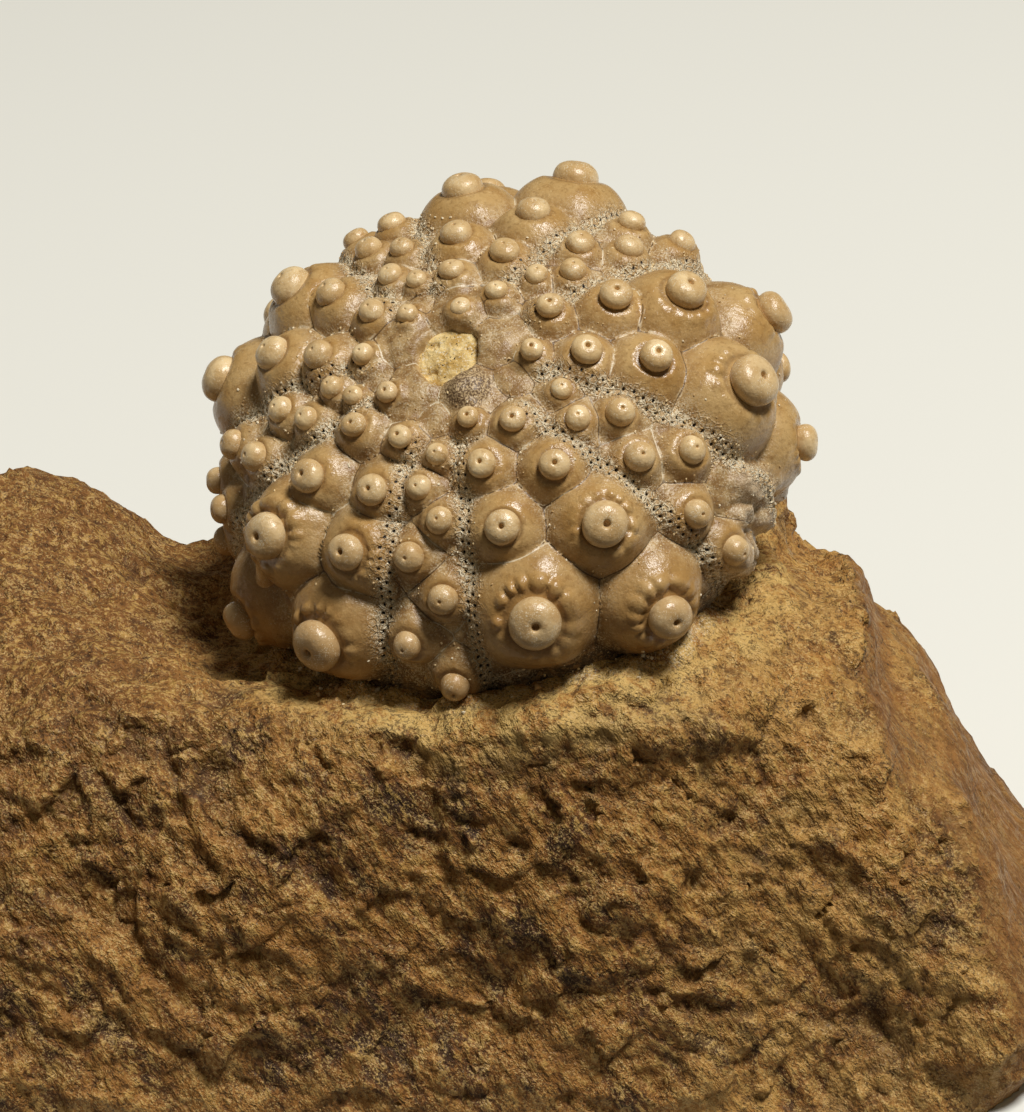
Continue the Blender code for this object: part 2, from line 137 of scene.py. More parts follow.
# The view: the test's middle lies left of and above the middle of the frame.
VIEW_ELEVATION = math.radians(25)
VIEW_DISTANCE = 220.8 * MM
FRAME_PIXELS = 1112
FOCAL_PIXELS = 3313
AIM_PIXELS = (11.5, 99.0)
SENSOR = 36.0


# ---- helpers

def put_in_scene(name, data):
    made = bpy.data.objects.new(name, data)
    bpy.context.scene.collection.objects.link(made)
    return made


def new_mesh_object(name, points, faces, material=None, smooth=True):
    mesh = bpy.data.meshes.new(name)
    mesh.from_pydata([tuple(point) for point in points], [], [tuple(face) for face in faces])
    if material:
        mesh.materials.append(material)
    if smooth:
        mesh.shade_smooth()
    return put_in_scene(name, mesh)


def set_attribute(item, name, values, kind="FLOAT"):
    layer = item.data.attributes.new(name, kind, "POINT")
    field = "value" if kind == "FLOAT" else "vector"
    layer.data.foreach_set(field, np.asarray(values, dtype=np.float32).ravel())


def read_attribute(item, name):
    flat = np.empty(len(item.data.vertices))
    item.data.attributes[name].data.foreach_get("value", flat)
    return flat


def vertex_array(mesh):
    flat = np.empty(3 * len(mesh.vertices))
    mesh.vertices.foreach_get("co", flat)
    return flat.reshape(-1, 3)


def tree_of(points):
    tree = KDTree(len(points))
    for index, point in enumerate(points):
        tree.insert(point, index)
    tree.balance()
    return tree


def smoothstep(low, high, value):
    part = np.clip((value - low) / (high - low), 0.0, 1.0)
    return part * part * (3.0 - 2.0 * part)


def cell_value(cells, seed):
    """A repeatable number from -1 to 1 for each cell of a grid."""
    mixed = cells[..., 0] * 73856093 ^ cells[..., 1] * 19349663 ^ cells[..., 2] * 83492791
    mixed = (mixed ^ (seed * 40503 + 12345)) & 0xFFFFFFF
    mixed = (mixed ^ (mixed >> 13)) * 60493 & 0xFFFFFFFF
    mixed = (mixed ^ (mixed >> 11)) * 19990303 & 0xFFFFFFFF
    return ((mixed >> 8) & 0xFFFF) / 32767.5 - 1.0


def grain(points, span, seed):
    """Smooth noise from -1 to 1 whose lumps are about span across."""
    scaled = points / span + 1000.0
    cells = np.floor(scaled).astype(np.int64)
    part = scaled - cells
    part = part * part * part * (part * (part * 6.0 - 15.0) + 10.0)
    total = np.zeros(len(points))
    for corner in range(8):
        step = np.array((corner & 1, corner >> 1 & 1, corner >> 2 & 1))
        weight = np.where(step, part, 1.0 - part).prod(axis=1)
        total += weight * cell_value(cells + step, seed)
    return total


def layered(points, span, layers, seed, fall=0.5):
    """Noise summed over ever finer layers."""
    total = np.zeros(len(points))
    size = 1.0
    for layer in range(layers):
        total += size * grain(points, span / 2.03 ** layer, seed + layer)
        size *= fall
    return total


def shifts(points, span, layers, seeds):
    """One noise for each seed, to shift points along the axes."""
    return np.stack([layered(points, span, layers, seed) for seed in seeds], axis=1)


# ---- the test's form

TURN = np.array(Matrix.Rotation(POLE_HEADING, 3, "Z") @ Matrix.Rotation(POLE_LEAN, 3, "Y"))
POLE = TURN[:, 2]
plug_points = vertex_array(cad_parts["periproct_sediment"].data)
APEX = plug_points[np.argmax(plug_points @ POLE)]
CENTRE = APEX - POLE * APICAL_HEIGHT
TO_CAMERA = np.array((0.0, -math.cos(VIEW_ELEVATION), math.sin(VIEW_ELEVATION)))


def seen_at(points):
    """Where points lie in the view: across and up from the test's middle, at its distance."""
    offset = points - CENTRE
    forward = offset @ TO_CAMERA
    nearness = VIEW_DISTANCE / (VIEW_DISTANCE - forward)
    up = offset[:, 1] * math.sin(VIEW_ELEVATION) + offset[:, 2] * math.cos(VIEW_ELEVATION)
    return offset[:, 0] * nearness, up * nearness


def signed_power(value, power):
    return np.sign(value) * np.abs(value) ** power


def bare_points(colatitude, longitude):
    """Places on the bare test for arrays of angles."""
    height = np.where(colatitude < math.pi / 2, APICAL_HEIGHT, ORAL_DEPTH)
    radial = TEST_RADIUS * signed_power(np.sin(colatitude), PROFILE_POWER)
    axial = height * signed_power(np.cos(colatitude), PROFILE_POWER)
    local = np.stack((radial * np.cos(longitude), radial * np.sin(longitude), axial), axis=-1)
    return CENTRE + local @ TURN.T


def bare_normals(colatitude, longitude):
    height = np.where(colatitude < math.pi / 2, APICAL_HEIGHT, ORAL_DEPTH)
    sine = np.clip(np.sin(colatitude), 1e-4, 1.0)
    cosine = np.cos(colatitude)
    flank = np.clip(np.abs(cosine), 1e-4, 1.0)
    out = height * sine * flank ** (PROFILE_POWER - 1.0)
    up = TEST_RADIUS * cosine * sine ** (PROFILE_POWER - 1.0)
    size = np.hypot(out, up)
    local = np.stack((out / size * np.cos(longitude), out / size * np.sin(longitude), up / size), axis=-1)
    return local @ TURN.T


def spot(colatitude, longitude):
    """Place and outward direction at one pair of angles."""
    angles = np.array([colatitude]), np.array([longitude])
    return bare_points(*angles)[0], bare_normals(*angles)[0]


def angles_of(points):
    """The angles of the places on the bare test nearest to a ray through these points."""
    local = (points - CENTRE) @ TURN
    height = np.where(local[..., 2] > 0, APICAL_HEIGHT, ORAL_DEPTH)
    radial = (np.hypot(local[..., 0], local[..., 1]) / TEST_RADIUS) ** (1.0 / PROFILE_POWER)
    axial = signed_power(local[..., 2] / height, 1.0 / PROFILE_POWER)
    return np.arctan2(radial, axial), np.arctan2(local[..., 1], local[..., 0])


def round_places(colatitude, longitude, radius, amount, turn=0.0):
    """Angles of points on a circle round one place of the test."""
    middle, normal = spot(colatitude, longitude)
    side = np.cross(normal, (0.0, 0.0, 1.0) if abs(normal[2]) < 0.9 else (1.0, 0.0, 0.0))
    side /= np.linalg.norm(side)
    other = np.cross(normal, side)
    spin = turn + math.tau * np.arange(amount) / amount
    ring = middle + radius * (np.cos(spin)[:, None] * side + np.sin(spin)[:, None] * other)
    return np.stack(angles_of(ring), axis=1)


# ---- tubercles

rock_copy = bmesh.new()
rock_copy.from_mesh(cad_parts["matrix_rock"].data)
bmesh.ops.remove_doubles(rock_copy, verts=rock_copy.verts, dist=0.001 * MM)
ROCK_TREE = BVHTree.FromBMesh(rock_copy)


def depth_in_rock(point):
    """How deep a point is inside the block, negative outside it."""
    nearest, normal, _, distance = ROCK_TREE.find_nearest(Vector(point))
    return math.copysign(distance, (nearest - Vector(point)).dot(normal))


class Tubercle:
    """Place and size of one tubercle, with a spin that makes each one differ."""

    def __init__(self, colatitude, longitude, boss, mamelon, interambulacral, number):
        self.colatitude = math.radians(colatitude)
        self.longitude = longitude
        self.boss = boss * MM
        self.mamelon = mamelon * MM
        self.interambulacral = interambulacral
        ray = number % 200 // 40
        self.beads = RAY_BEADS[ray] if interambulacral else 0.3
        self.cap = RAY_CAPS[ray] if interambulacral else AMB_CAPS[ray]
        self.dome = BOSS_SLOPE * self.boss
        self.rim = max(PLATFORM_SHARE * self.boss, PLATFORM_MARGIN * self.mamelon)
        self.number = number
        self.spin = 2.4 * number
        self.place, self.normal = spot(self.colatitude, longitude)
        self.seen = float(self.normal @ TO_CAMERA) > -0.15
        self.sunk = depth_in_rock(self.place + self.normal * (self.dome + 0.4 * self.mamelon)) > 0

    def domed(self):
        return float(smoothstep(*DOMED_BOSS, self.boss))


def column_tubercles(offset, numbers, colatitudes, phases, boss_rule, mamelon_rule, first, wide):
    made = []
    for ray in range(RAYS):
        middle = first + ray * RAY_STEP
        for side, phase in zip((-1, 1), phases[ray]):
            for row in range(int(numbers[-1]) + 1):
                number = row + phase
                if not numbers[0] <= number <= numbers[-1]:
                    continue
                colatitude = float(np.interp(number, numbers, colatitudes))
                boss = float(np.interp(colatitude, *boss_rule))
                mamelon = float(np.interp(colatitude, *mamelon_rule))
                tag = 200 * (not wide) + 40 * ray + 20 * (side > 0) + row
                down, around = STRAYS.get(tag, (0, 0))
                longitude = middle + side * offset + math.radians(around)
                made.append(Tubercle(colatitude + down, longitude, boss, mamelon, wide, tag))
    return made


TUBERCLES = column_tubercles(COLUMN_OFFSET, ROW_NUMBERS, ROW_COLATITUDES, ROW_PHASES,
                             BOSS_RULE, MAMELON_RULE, FIRST_RAY, True)
TUBERCLES += column_tubercles(AMBULACRAL_OFFSET, AMB_ROW_NUMBERS, AMB_ROW_COLATITUDES,
                              AMB_ROW_PHASES, AMB_BOSS_RULE, AMB_MAMELON_RULE,
                              FIRST_RAY - RAY_STEP / 2, False)
SHOWN = [one for one in TUBERCLES if not one.sunk and one.number not in LOST]


# ---- the shell of the test

def pore_places():
    """Angles of the pores: pairs in rows down both sides of each ambulacrum."""
    places = []
    for ray in range(RAYS):
        middle = FIRST_RAY + (ray - 0.5) * RAY_STEP
        for side in (-1, 1):
            colatitude = PORE_ZONE[0]
            row = 0
            while colatitude < PORE_ZONE[1]:
                offset = math.radians(np.interp(math.degrees(colatitude), *PORE_OFFSET_RULE))
                width = TEST_RADIUS * math.sin(colatitude)
                for half in (-0.5, 0.5):
                    wander = 0.12 * PORE_PAIR * math.sin(3.7 * row + 5.0 * half)
                    across = (half * PORE_PAIR + wander) / width
                    along = 0.35 * half * side * PORE_ROW_STEP / TEST_RADIUS
                    places.append((colatitude + along, middle + side * (offset + across)))
                colatitude += PORE_ROW_STEP / (0.86 * TEST_RADIUS)
                row += 1
    return np.array(places)


def apical_angles(distance, around):
    """Angles of the place at a distance from the middle of the periproct."""
    across = PERIPROCT_SHIFT[0] + distance * np.cos(around)
    along = PERIPROCT_SHIFT[1] + distance * np.sin(around)
    radius = np.hypot(across, along)
    return np.arcsin((radius / TEST_RADIUS) ** (1 / PROFILE_POWER)), np.arctan2(along, across)


def apical_place(distance, around):
    colatitude, longitude = apical_angles(distance, np.array([around]))
    return bare_points(colatitude, longitude)[0]


def plate_seeds():
    """Middle and size of each plate: one for each tubercle, and the plates round the apex."""
    seeds = [(one.place, one.boss if one.interambulacral else 1.15 * one.boss) for one in TUBERCLES]
    for ray in range(RAYS):
        around = FIRST_RAY + ray * RAY_STEP
        seeds.append((apical_place(PLATE_DISTANCE, around), 1.9 * MM))
        seeds.append((apical_place(1.42 * PLATE_DISTANCE, around + RAY_STEP / 2), 1.0 * MM))
    return np.array([place for place, _ in seeds]), np.array([size for _, size in seeds])


PLATE_PLACES, PLATE_SIZES = plate_seeds()


def plate_edges(points):
    """How far each point is from the nearest suture, and the way to it."""
    points = points + SUTURE_WANDER * shifts(points, 1.4 * MM, 1, (21, 22, 23))
    best = np.full((2, len(points)), 1e9)
    which = np.zeros((2, len(points)), dtype=int)
    for index, (place, size) in enumerate(zip(PLATE_PLACES, PLATE_SIZES)):
        away = np.linalg.norm(points - place, axis=1) / size
        nearer = away < best[0]
        second = ~nearer & (away < best[1])
        best[1] = np.where(nearer, best[0], np.where(second, away, best[1]))
        which[1] = np.where(nearer, which[0], np.where(second, index, which[1]))
        best[0] = np.where(nearer, away, best[0])
        which[0] = np.where(nearer, index, which[0])
    toward = []
    for row in range(2):
        line = points - PLATE_PLACES[which[row]]
        long = np.maximum(np.linalg.norm(line, axis=1), 1e-9)
        toward.append(line / (long * PLATE_SIZES[which[row]])[:, None])
    slope = toward[1] - toward[0]
    steep = (slope ** 2).sum(axis=1)
    gap = best[1] - best[0]
    return gap / np.sqrt(steep), -slope * (gap / steep)[:, None]


def periproct_edge(angle):
    return PERIPROCT_RADIUS * (1.0 + 0.05 * np.cos(2 * angle + 0.6) + 0.03 * np.cos(5 * angle))


def lattice(spacing):
    """Evenly spread places over the test, as angles."""
    amount = int(4 * math.pi * (0.93 * TEST_RADIUS) ** 2 / (0.866 * spacing ** 2))
    index = np.arange(amount) + 0.5
    colatitude = np.arccos(1 - 2 * index / amount)
    longitude = np.mod(math.pi * (1 + 5 ** 0.5) * index, math.tau) - math.pi
    return np.stack((colatitude, longitude), axis=1)


def shell_places(pores):
    """Where the shell's mesh has its points: rings where detail is fine, and a lattice."""
    fine = []
    for one in SHOWN:
        if one.seen and one.boss > 2.2 * MM and one.beads > 0.1:
            for step in KNOB_RINGS:
                radius = step * one.mamelon
                amount = int(math.tau * radius / KNOB_SPACING)
                fine.append(round_places(one.colatitude, one.longitude, radius, amount, one.spin + step))
    for colatitude, longitude in pores:
        if spot(colatitude, longitude)[1] @ TO_CAMERA > -0.05:
            fine.append(np.array([[colatitude, longitude]]))
            for radius, amount in ((0.085 * MM, 6), (0.16 * MM, 8)):
                fine.append(round_places(colatitude, longitude, radius, amount))
    for beside in (-0.12, 0.12, 0.35):
        radius = PERIPROCT_RADIUS + beside * MM
        around = np.arange(0, math.tau, 0.15 * MM / radius)
        fine.append(np.stack(apical_angles(radius, around), axis=1))
    fine = np.concatenate(fine)
    places = [fine]
    tree = tree_of(bare_points(fine[:, 0], fine[:, 1]))
    for spacing, wanted in ((FINE_SPACING, True), (COARSE_SPACING, False)):
        spread = lattice(spacing)
        points = bare_points(spread[:, 0], spread[:, 1])
        facing = bare_normals(spread[:, 0], spread[:, 1]) @ TO_CAMERA > -0.12
        near = np.array([tree.find(point)[2] < 0.62 * spacing for point in points])
        buried = spread[:, 0] > math.radians(128)
        keep = ~near & ((facing & ~buried) == wanted) & (spread[:, 0] < math.radians(172))
        spread, points = spread[keep], points[keep]
        away, step = plate_edges(points)
        on_edge = away < 0.42 * spacing
        spread[on_edge] = np.stack(angles_of(points[on_edge] + step[on_edge]), axis=1)
        places.append(spread)
    return np.concatenate(places)


def boss_relief(one, away, angle):
    """Height of a boss at some distances and angles round its middle."""
    reach = away * (1.0 + 0.035 * np.sin(3 * angle) + 0.02 * np.sin(5 * angle + one.spin))
    mix = one.domed()
    foot = one.boss * (BOSS_REACH * mix + 1.35 * (1 - mix))
    part = np.clip((reach - one.rim) / (foot - one.rim), 0, 1)
    dome = 0.65 * np.cos(0.5 * math.pi * part) + 0.35 * (1.0 - part)
    cone = 0.55 * (1.0 - part) + 0.45 * (1.0 - smoothstep(0.0, 1.0, part))
    height = one.dome * (mix * dome + (1 - mix) * cone)
    ratio = away / one.mamelon
    turn = CRENULATIONS * angle / math.tau + 0.30 * np.sin(2 * angle + one.spin) + 0.15 * np.sin(5 * angle)
    kept = 0.60 + 0.45 * np.sin(angle + 1.7 * one.spin) + 0.25 * np.sin(3 * angle - one.spin)
    share = one.beads * (0.08 + 0.92 * mix) * np.clip(kept, 0.25, 1.0)
    spacing = math.tau * KNOB_RING * one.mamelon / CRENULATIONS
    size = spacing * (0.46 + 0.14 * np.sin(12.9898 * np.floor(turn) + one.spin))
    beside = (turn - np.floor(turn) - 0.5) * spacing
    knob = np.clip(1.0 - (beside ** 2 + (away - KNOB_RING * one.mamelon) ** 2) / size ** 2, 0, 1) ** 0.5
    height += share * (0.95 * size * knob - 0.07 * one.mamelon * np.exp(-((ratio - 1.15) / 0.20) ** 2))
    height -= 0.05 * (1 - mix) * one.mamelon * np.exp(-((ratio - 1.02) / 0.07) ** 2)
    return height, ratio


def contact_share(point):
    """1 where the test meets the block, and 0 well away from it."""
    found = ROCK_TREE.find_nearest(Vector(point), 4.0 * MM)
    return float(1.0 - smoothstep(0.4 * MM, 3.6 * MM, found[3])) if found[0] else 0.0


def shell_relief(points, normals, pores):
    """Height of the finished surface over the bare test, and masks for its material."""
    amount = len(points)
    rise = np.zeros(amount)
    edge = plate_edges(points)[0]
    foot = np.zeros(amount)
    neck = np.zeros(amount)
    for one in SHOWN:
        offset = points - one.place
        away = np.linalg.norm(offset, axis=1)
        near = np.nonzero(away < 1.6 * one.boss)[0]
        if not len(near):
            continue
        side = np.cross(one.normal, (0.3, 0.5, 0.81))
        side /= np.linalg.norm(side)
        angle = np.arctan2(offset[near] @ np.cross(one.normal, side), offset[near] @ side) + math.pi
        height, ratio = boss_relief(one, away[near], angle)
        rise[near] = np.maximum(rise[near], height)
        foot[near] = np.maximum(foot[near], 1.0 - smoothstep(0.70, 1.20, away[near] / one.boss))
        neck[near] = np.maximum(neck[near], np.exp(-((ratio - 1.0) / 0.09) ** 2))
    low = 1.0 - foot

    tree = tree_of(bare_points(pores[:, 0], pores[:, 1]))
    pore = np.array([tree.find(point)[2] for point in points])
    zone = np.exp(-(pore / (0.52 * MM)) ** 2) * (0.35 + 0.65 * low)
    contact = np.array([contact_share(point) for point in points])
    rise += PLATE_SWELL * smoothstep(0.0, 0.7 * MM, edge)
    rise -= SUTURE_DEPTH * np.exp(-(edge / SUTURE_WIDTH) ** 2) * (1 - 0.7 * zone)
    rise += PORE_RIM * zone * np.exp(-((pore - 0.19 * MM) / (0.08 * MM)) ** 2)
    rise -= PORE_DEPTH * np.exp(-(pore / PORE_RADIUS) ** 2) * (0.5 + 0.5 * low)

    local = (points - CENTRE) @ TURN
    flat = local[:, :2] - PERIPROCT_SHIFT
    from_middle = np.hypot(flat[:, 0], flat[:, 1])
    edge_radius = periproct_edge(np.arctan2(flat[:, 1], flat[:, 0]))
    hole = (1.0 - smoothstep(-0.12 * MM, 0.12 * MM, from_middle - edge_radius)) * (local[:, 2] > 0)
    madreporite = np.zeros(amount)
    for ray in range(RAYS):
        away = np.linalg.norm(points - apical_place(PLATE_DISTANCE, FIRST_RAY + ray * RAY_STEP), axis=1)
        if ray == MADREPORITE_RAY:
            madreporite = 1.0 - smoothstep(1.35 * MM, 1.7 * MM, away + 0.2 * MM * grain(points, 1.2 * MM, 5))
            rise += MADREPORITE_RISE * (1.0 - smoothstep(0.5 * MM, 1.75 * MM, away))
        else:
            rise += PLATE_RISE * (1.0 - smoothstep(0.5 * MM, 1.7 * MM, away))
    rise = rise * (1 - hole) - PERIPROCT_DEPTH * hole

    crust = np.zeros(amount)
    across, up = seen_at(points)
    for x, y, radius, height in CRUST_LUMPS:
        away = np.hypot(across - x * MM, up - y * MM) / (radius * MM)
        away += 0.12 * grain(points, 0.9 * MM, 19)
        lump = (1.0 - smoothstep(0.45, 1.20, away)) * (normals @ TO_CAMERA > -0.3)
        rise += height * MM * lump
        crust = np.maximum(crust, lump)
    rise += 0.13 * MM * crust * layered(points, 1.1 * MM, 3, 17, 0.6)

    rough = 0.022 * MM + 0.050 * MM * np.maximum(low * (0.25 + 0.75 * zone), 0.8 * crust)
    rise += rough * layered(points, 0.8 * MM, 3, 11, 0.6) * (1 - hole)
    rise += 0.09 * MM * grain(points, 4.0 * MM, 3) + 0.04 * MM * grain(points, 1.6 * MM, 4)
    rise += 0.05 * MM * madreporite * layered(points, 0.45 * MM, 2, 31, 0.8)
    masks = {"low ground": low * (1 - hole), "pore zone": zone, "pore": np.minimum(pore, MM) / MM,
             "edge": np.minimum(edge, MM) / MM, "neck": neck, "madreporite": madreporite,
             "crust": crust, "contact": contact}
    return rise, masks


def make_shell(material):
    pores = pore_places()
    places = shell_places(pores)
    colatitude, longitude = places[:, 0], places[:, 1]
    spread = np.tan(colatitude / 2)
    flat = np.stack((spread * np.cos(longitude), spread * np.sin(longitude)), axis=1)
    result = delaunay_2d_cdt([Vector(point) for point in flat], [], [], 0, 1e-9)
    faces = [tuple(face) for face in result[2]]
    origin = [source[0] for source in result[3]]
    colatitude, longitude = colatitude[origin], longitude[origin]
    points = bare_points(colatitude, longitude)
    normals = bare_normals(colatitude, longitude)
    rise, masks = shell_relief(points, normals, pores)
    finished = points + normals * rise[:, None]
    under = CENTRE - POLE * ORAL_DEPTH
    border = outer_loop(faces)
    faces += [(border[index], border[index - 1], len(finished)) for index in range(len(border))]
    finished = np.concatenate((finished, [under]))
    shell = new_mesh_object("test_shell", finished, faces, material)
    orient_outward(shell)
    for name, values in masks.items():
        set_attribute(shell, name, np.append(values, 0.0))
    return shell


def outer_loop(faces):
    """The closed run of border points of a triangulated disc."""
    uses = {}
    for face in faces:
        for index in range(3):
            pair = (face[index], face[(index + 1) % 3])
            uses.setdefault((min(pair), max(pair)), []).append(pair)
    following = dict(pairs[0] for pairs in uses.values() if len(pairs) == 1)
    loop = [next(iter(following))]
    while following[loop[-1]] != loop[0]:
        loop.append(following[loop[-1]])
    return loop


def orient_outward(item):
    bm = bmesh.new()
    bm.from_mesh(item.data)
    bmesh.ops.recalc_face_normals(bm, faces=bm.faces)
    bm.to_mesh(item.data)
    bm.free()


# ---- mamelons

# Outline of a mamelon of radius 1 as (radius, height over the boss), from its buried foot
# over the ball to the floor of the hole in its tip.
MAMELON_OUTLINE = ((0.80, -0.34), (0.84, -0.06), (0.92, 0.07), (0.975, 0.20), (1.0, 0.36), (0.99, 0.51),
                   (0.94, 0.66), (0.85, 0.79), (0.73, 0.895), (0.58, 0.97), (0.42, 1.01), (0.29, 1.02),
                   (0.20, 1.0), (0.155, 0.95), (0.14, 0.85), (0.12, 0.66))
HOLE_FLOOR = 0.60
# And of the small and worn ones.
CAP_OUTLINE = ((0.97, -0.30), (1.0, -0.05), (1.01, 0.10), (0.99, 0.25), (0.95, 0.40), (0.88, 0.54),
               (0.78, 0.67), (0.64, 0.78), (0.48, 0.86), (0.32, 0.90), (0.20, 0.91), (0.13, 0.90),
               (0.10, 0.84), (0.07, 0.76))
CAP_FLOOR = 0.74


def turned_mesh(name, outline, floor, segments):
    """A closed turned form, from a foot that is capped to a floor on the axis."""
    points = []
    for radius, height in outline:
        for index in range(segments):
            angle = math.tau * index / segments
            points.append((radius * math.cos(angle), radius * math.sin(angle), height))
    faces = []
    for ring in range(len(outline) - 1):
        for index in range(segments):
            after = (index + 1) % segments
            low = ring * segments
            faces.append((low + index, low + after, low + segments + after, low + segments + index))
    last = (len(outline) - 1) * segments
    points += [(0.0, 0.0, floor), (0.0, 0.0, outline[0][1])]
    for index in range(segments):
        after = (index + 1) % segments
        faces.append((last + index, last + after, len(points) - 2))
        faces.append((after, index, len(points) - 1))
    return new_mesh_object(name, points, faces)


def add_node(tree, kind, inputs=None, **settings):
    """Adds a node, sets its properties, and fills its sockets with values or links."""
    made = tree.nodes.new(kind)
    for name, value in settings.items():
        setattr(made, name, value)
    for socket, value in (inputs or {}).items():
        if isinstance(value, bpy.types.NodeSocket):
            tree.links.new(value, made.inputs[socket])
        else:
            made.inputs[socket].default_value = value
    return made


def new_tree(name, inputs):
    """A Geometry Nodes tree with a geometry in and out and the named inputs."""
    tree = bpy.data.node_groups.new(name, "GeometryNodeTree")
    tree.interface.new_socket("Geometry", in_out="OUTPUT", socket_type="NodeSocketGeometry")
    tree.interface.new_socket("Geometry", in_out="INPUT", socket_type="NodeSocketGeometry")
    for label, kind in inputs:
        tree.interface.new_socket(label, in_out="INPUT", socket_type=kind)
    return tree


def run_tree(carrier, tree, values, name):
    """Evaluates a tree on a carrier and keeps the result as a plain mesh object."""
    step = carrier.modifiers.new(tree.name, "NODES")
    step.node_group = tree
    for item in tree.interface.items_tree:
        if item.in_out == "INPUT" and item.name in values:
            step[item.identifier] = values[item.name]
    graph = bpy.context.evaluated_depsgraph_get()
    mesh = bpy.data.meshes.new_from_object(carrier.evaluated_get(graph))
    carrier.modifiers.remove(step)
    return put_in_scene(name, mesh)


def named(tree, label, kind="FLOAT"):
    reader = add_node(tree, "GeometryNodeInputNamedAttribute", {"Name": label}, data_type=kind)
    return next(socket for socket in reader.outputs if socket.enabled and socket.name == "Attribute")


def hand_out(tree, instances, finish):
    """Makes instances real, coats them and gives them to the tree's output."""
    solid = add_node(tree, "GeometryNodeRealizeInstances", {"Geometry": instances})
    coated = add_node(tree, "GeometryNodeSetMaterial", {"Geometry": solid.outputs[0], "Material": finish})
    add_node(tree, "NodeGroupOutput", {0: coated.outputs[0]})
    return tree


def mamelon_tree():
    """Puts one of the mamelon shapes on every point, turned and sized by its attributes."""
    tree = new_tree("mamelons on bosses", (
        ("Large", "NodeSocketObject"), ("Small", "NodeSocketObject"), ("Worn", "NodeSocketObject"),
        ("Finish", "NodeSocketMaterial")))
    given = add_node(tree, "NodeGroupInput").outputs
    turn = add_node(tree, "FunctionNodeEulerToRotation", {"Euler": named(tree, "turn", "FLOAT_VECTOR")})
    joined = add_node(tree, "GeometryNodeJoinGeometry")
    for index, label in enumerate(("Large", "Small", "Worn")):
        chosen = add_node(tree, "FunctionNodeCompare", {0: named(tree, "shape"), 1: float(index), 12: 0.1},
                          data_type="FLOAT", operation="EQUAL")
        form = add_node(tree, "GeometryNodeObjectInfo", {"Object": given[label]})
        put = add_node(tree, "GeometryNodeInstanceOnPoints", {
            "Points": given["Geometry"], "Selection": chosen.outputs[0], "Instance": form.outputs["Geometry"],
            "Rotation": turn.outputs[0], "Scale": named(tree, "size", "FLOAT_VECTOR")})
        tree.links.new(put.outputs[0], joined.inputs[0])
    return hand_out(tree, joined.outputs[0], given["Finish"])


def shake(item, amount, span, layers, seeds):
    """Shifts a mesh's points by noise."""
    spots = vertex_array(item.data)
    moved = spots + amount * shifts(spots, span, layers, seeds)
    item.data.vertices.foreach_set("co", moved.ravel())


def make_mamelons(material):
    points, turns, sizes, shapes = [], [], [], []
    for index, one in enumerate(SHOWN):
        spin = Matrix.Rotation(math.tau * math.modf(0.618 * index)[0], 3, "Z").to_quaternion()
        upright = Vector(one.normal).to_track_quat("Z", "Y") @ spin
        lean = Matrix.Rotation(math.radians(3.0) * math.sin(5.1 * index), 3, "X").to_quaternion()
        settle = 0.04 * MM - 0.14 * one.domed() * one.mamelon * min(one.beads, 0.6)
        points.append(one.place + one.normal * (one.dome + settle))
        turns.append((upright @ lean).to_euler())
        width = one.mamelon * (1.0 + 0.04 * math.sin(2.7 * index))
        tall = one.cap * width * (1.0 + 0.05 * math.cos(3.3 * index))
        sizes.append((width, width * (1.0 + 0.05 * math.sin(1.9 * index)), tall))
        ball = one.interambulacral and one.beads > 0.5
        shapes.append((0 if one.seen and one.mamelon > 1.2 * MM else 1) if ball else 2)
    carrier = new_mesh_object("mamelon_points", points, [], smooth=False)
    set_attribute(carrier, "turn", turns, "FLOAT_VECTOR")
    set_attribute(carrier, "size", sizes, "FLOAT_VECTOR")
    set_attribute(carrier, "shape", shapes)
    forms = {"Large": turned_mesh("mamelon_large", MAMELON_OUTLINE, HOLE_FLOOR, 40),
             "Small": turned_mesh("mamelon_small", MAMELON_OUTLINE, HOLE_FLOOR, 24),
             "Worn": turned_mesh("mamelon_worn", CAP_OUTLINE, CAP_FLOOR, 28)}
    made = run_tree(carrier, mamelon_tree(), {**forms, "Finish": material}, "mamelons")
    for guide in (carrier, *forms.values()):
        bpy.data.objects.remove(guide, do_unlink=True)
    shake(made, 0.035 * MM, 1.3 * MM, 2, (41, 51, 61))
    made.data.shade_smooth()
    return made


# Radius against its own and height against its length, from the foot up.
PILLAR_OUTLINE = ((1.9, -0.08), (1.6, 0.08), (1.25, 0.25), (1.02, 0.45), (0.95, 0.62), (1.05, 0.78),
                  (1.3, 0.92), (1.0, 1.0))


def make_pillar(material):
    """The waisted pillar of calcite from one mamelon down to the boss below it."""
    tagged = {one.number: one for one in TUBERCLES}
    top, foot = (tagged[number] for number in PILLAR_ENDS)
    run = Vector(top.place + top.normal * (top.dome + 0.3 * top.mamelon) - foot.place)
    made = turned_mesh("calcite_pillar", PILLAR_OUTLINE, 1.0, 28)
    made.data.transform(Matrix.Translation(foot.place) @ run.to_track_quat("Z", "Y").to_matrix().to_4x4()
                        @ Matrix.Diagonal((PILLAR_RADIUS, PILLAR_RADIUS, run.length, 1.0)))
    shake(made, 0.10 * MM, 1.1 * MM, 1, (181, 182, 183))
    made.data.materials.append(material)
    return made


# ---- sediment in the periproct

PLUG_RINGS = 34
PLUG_SECTORS = 96
PLUG_SINK = 0.22 * MM           # how far its middle lies below the test
PLUG_DEPTH = 0.95 * MM


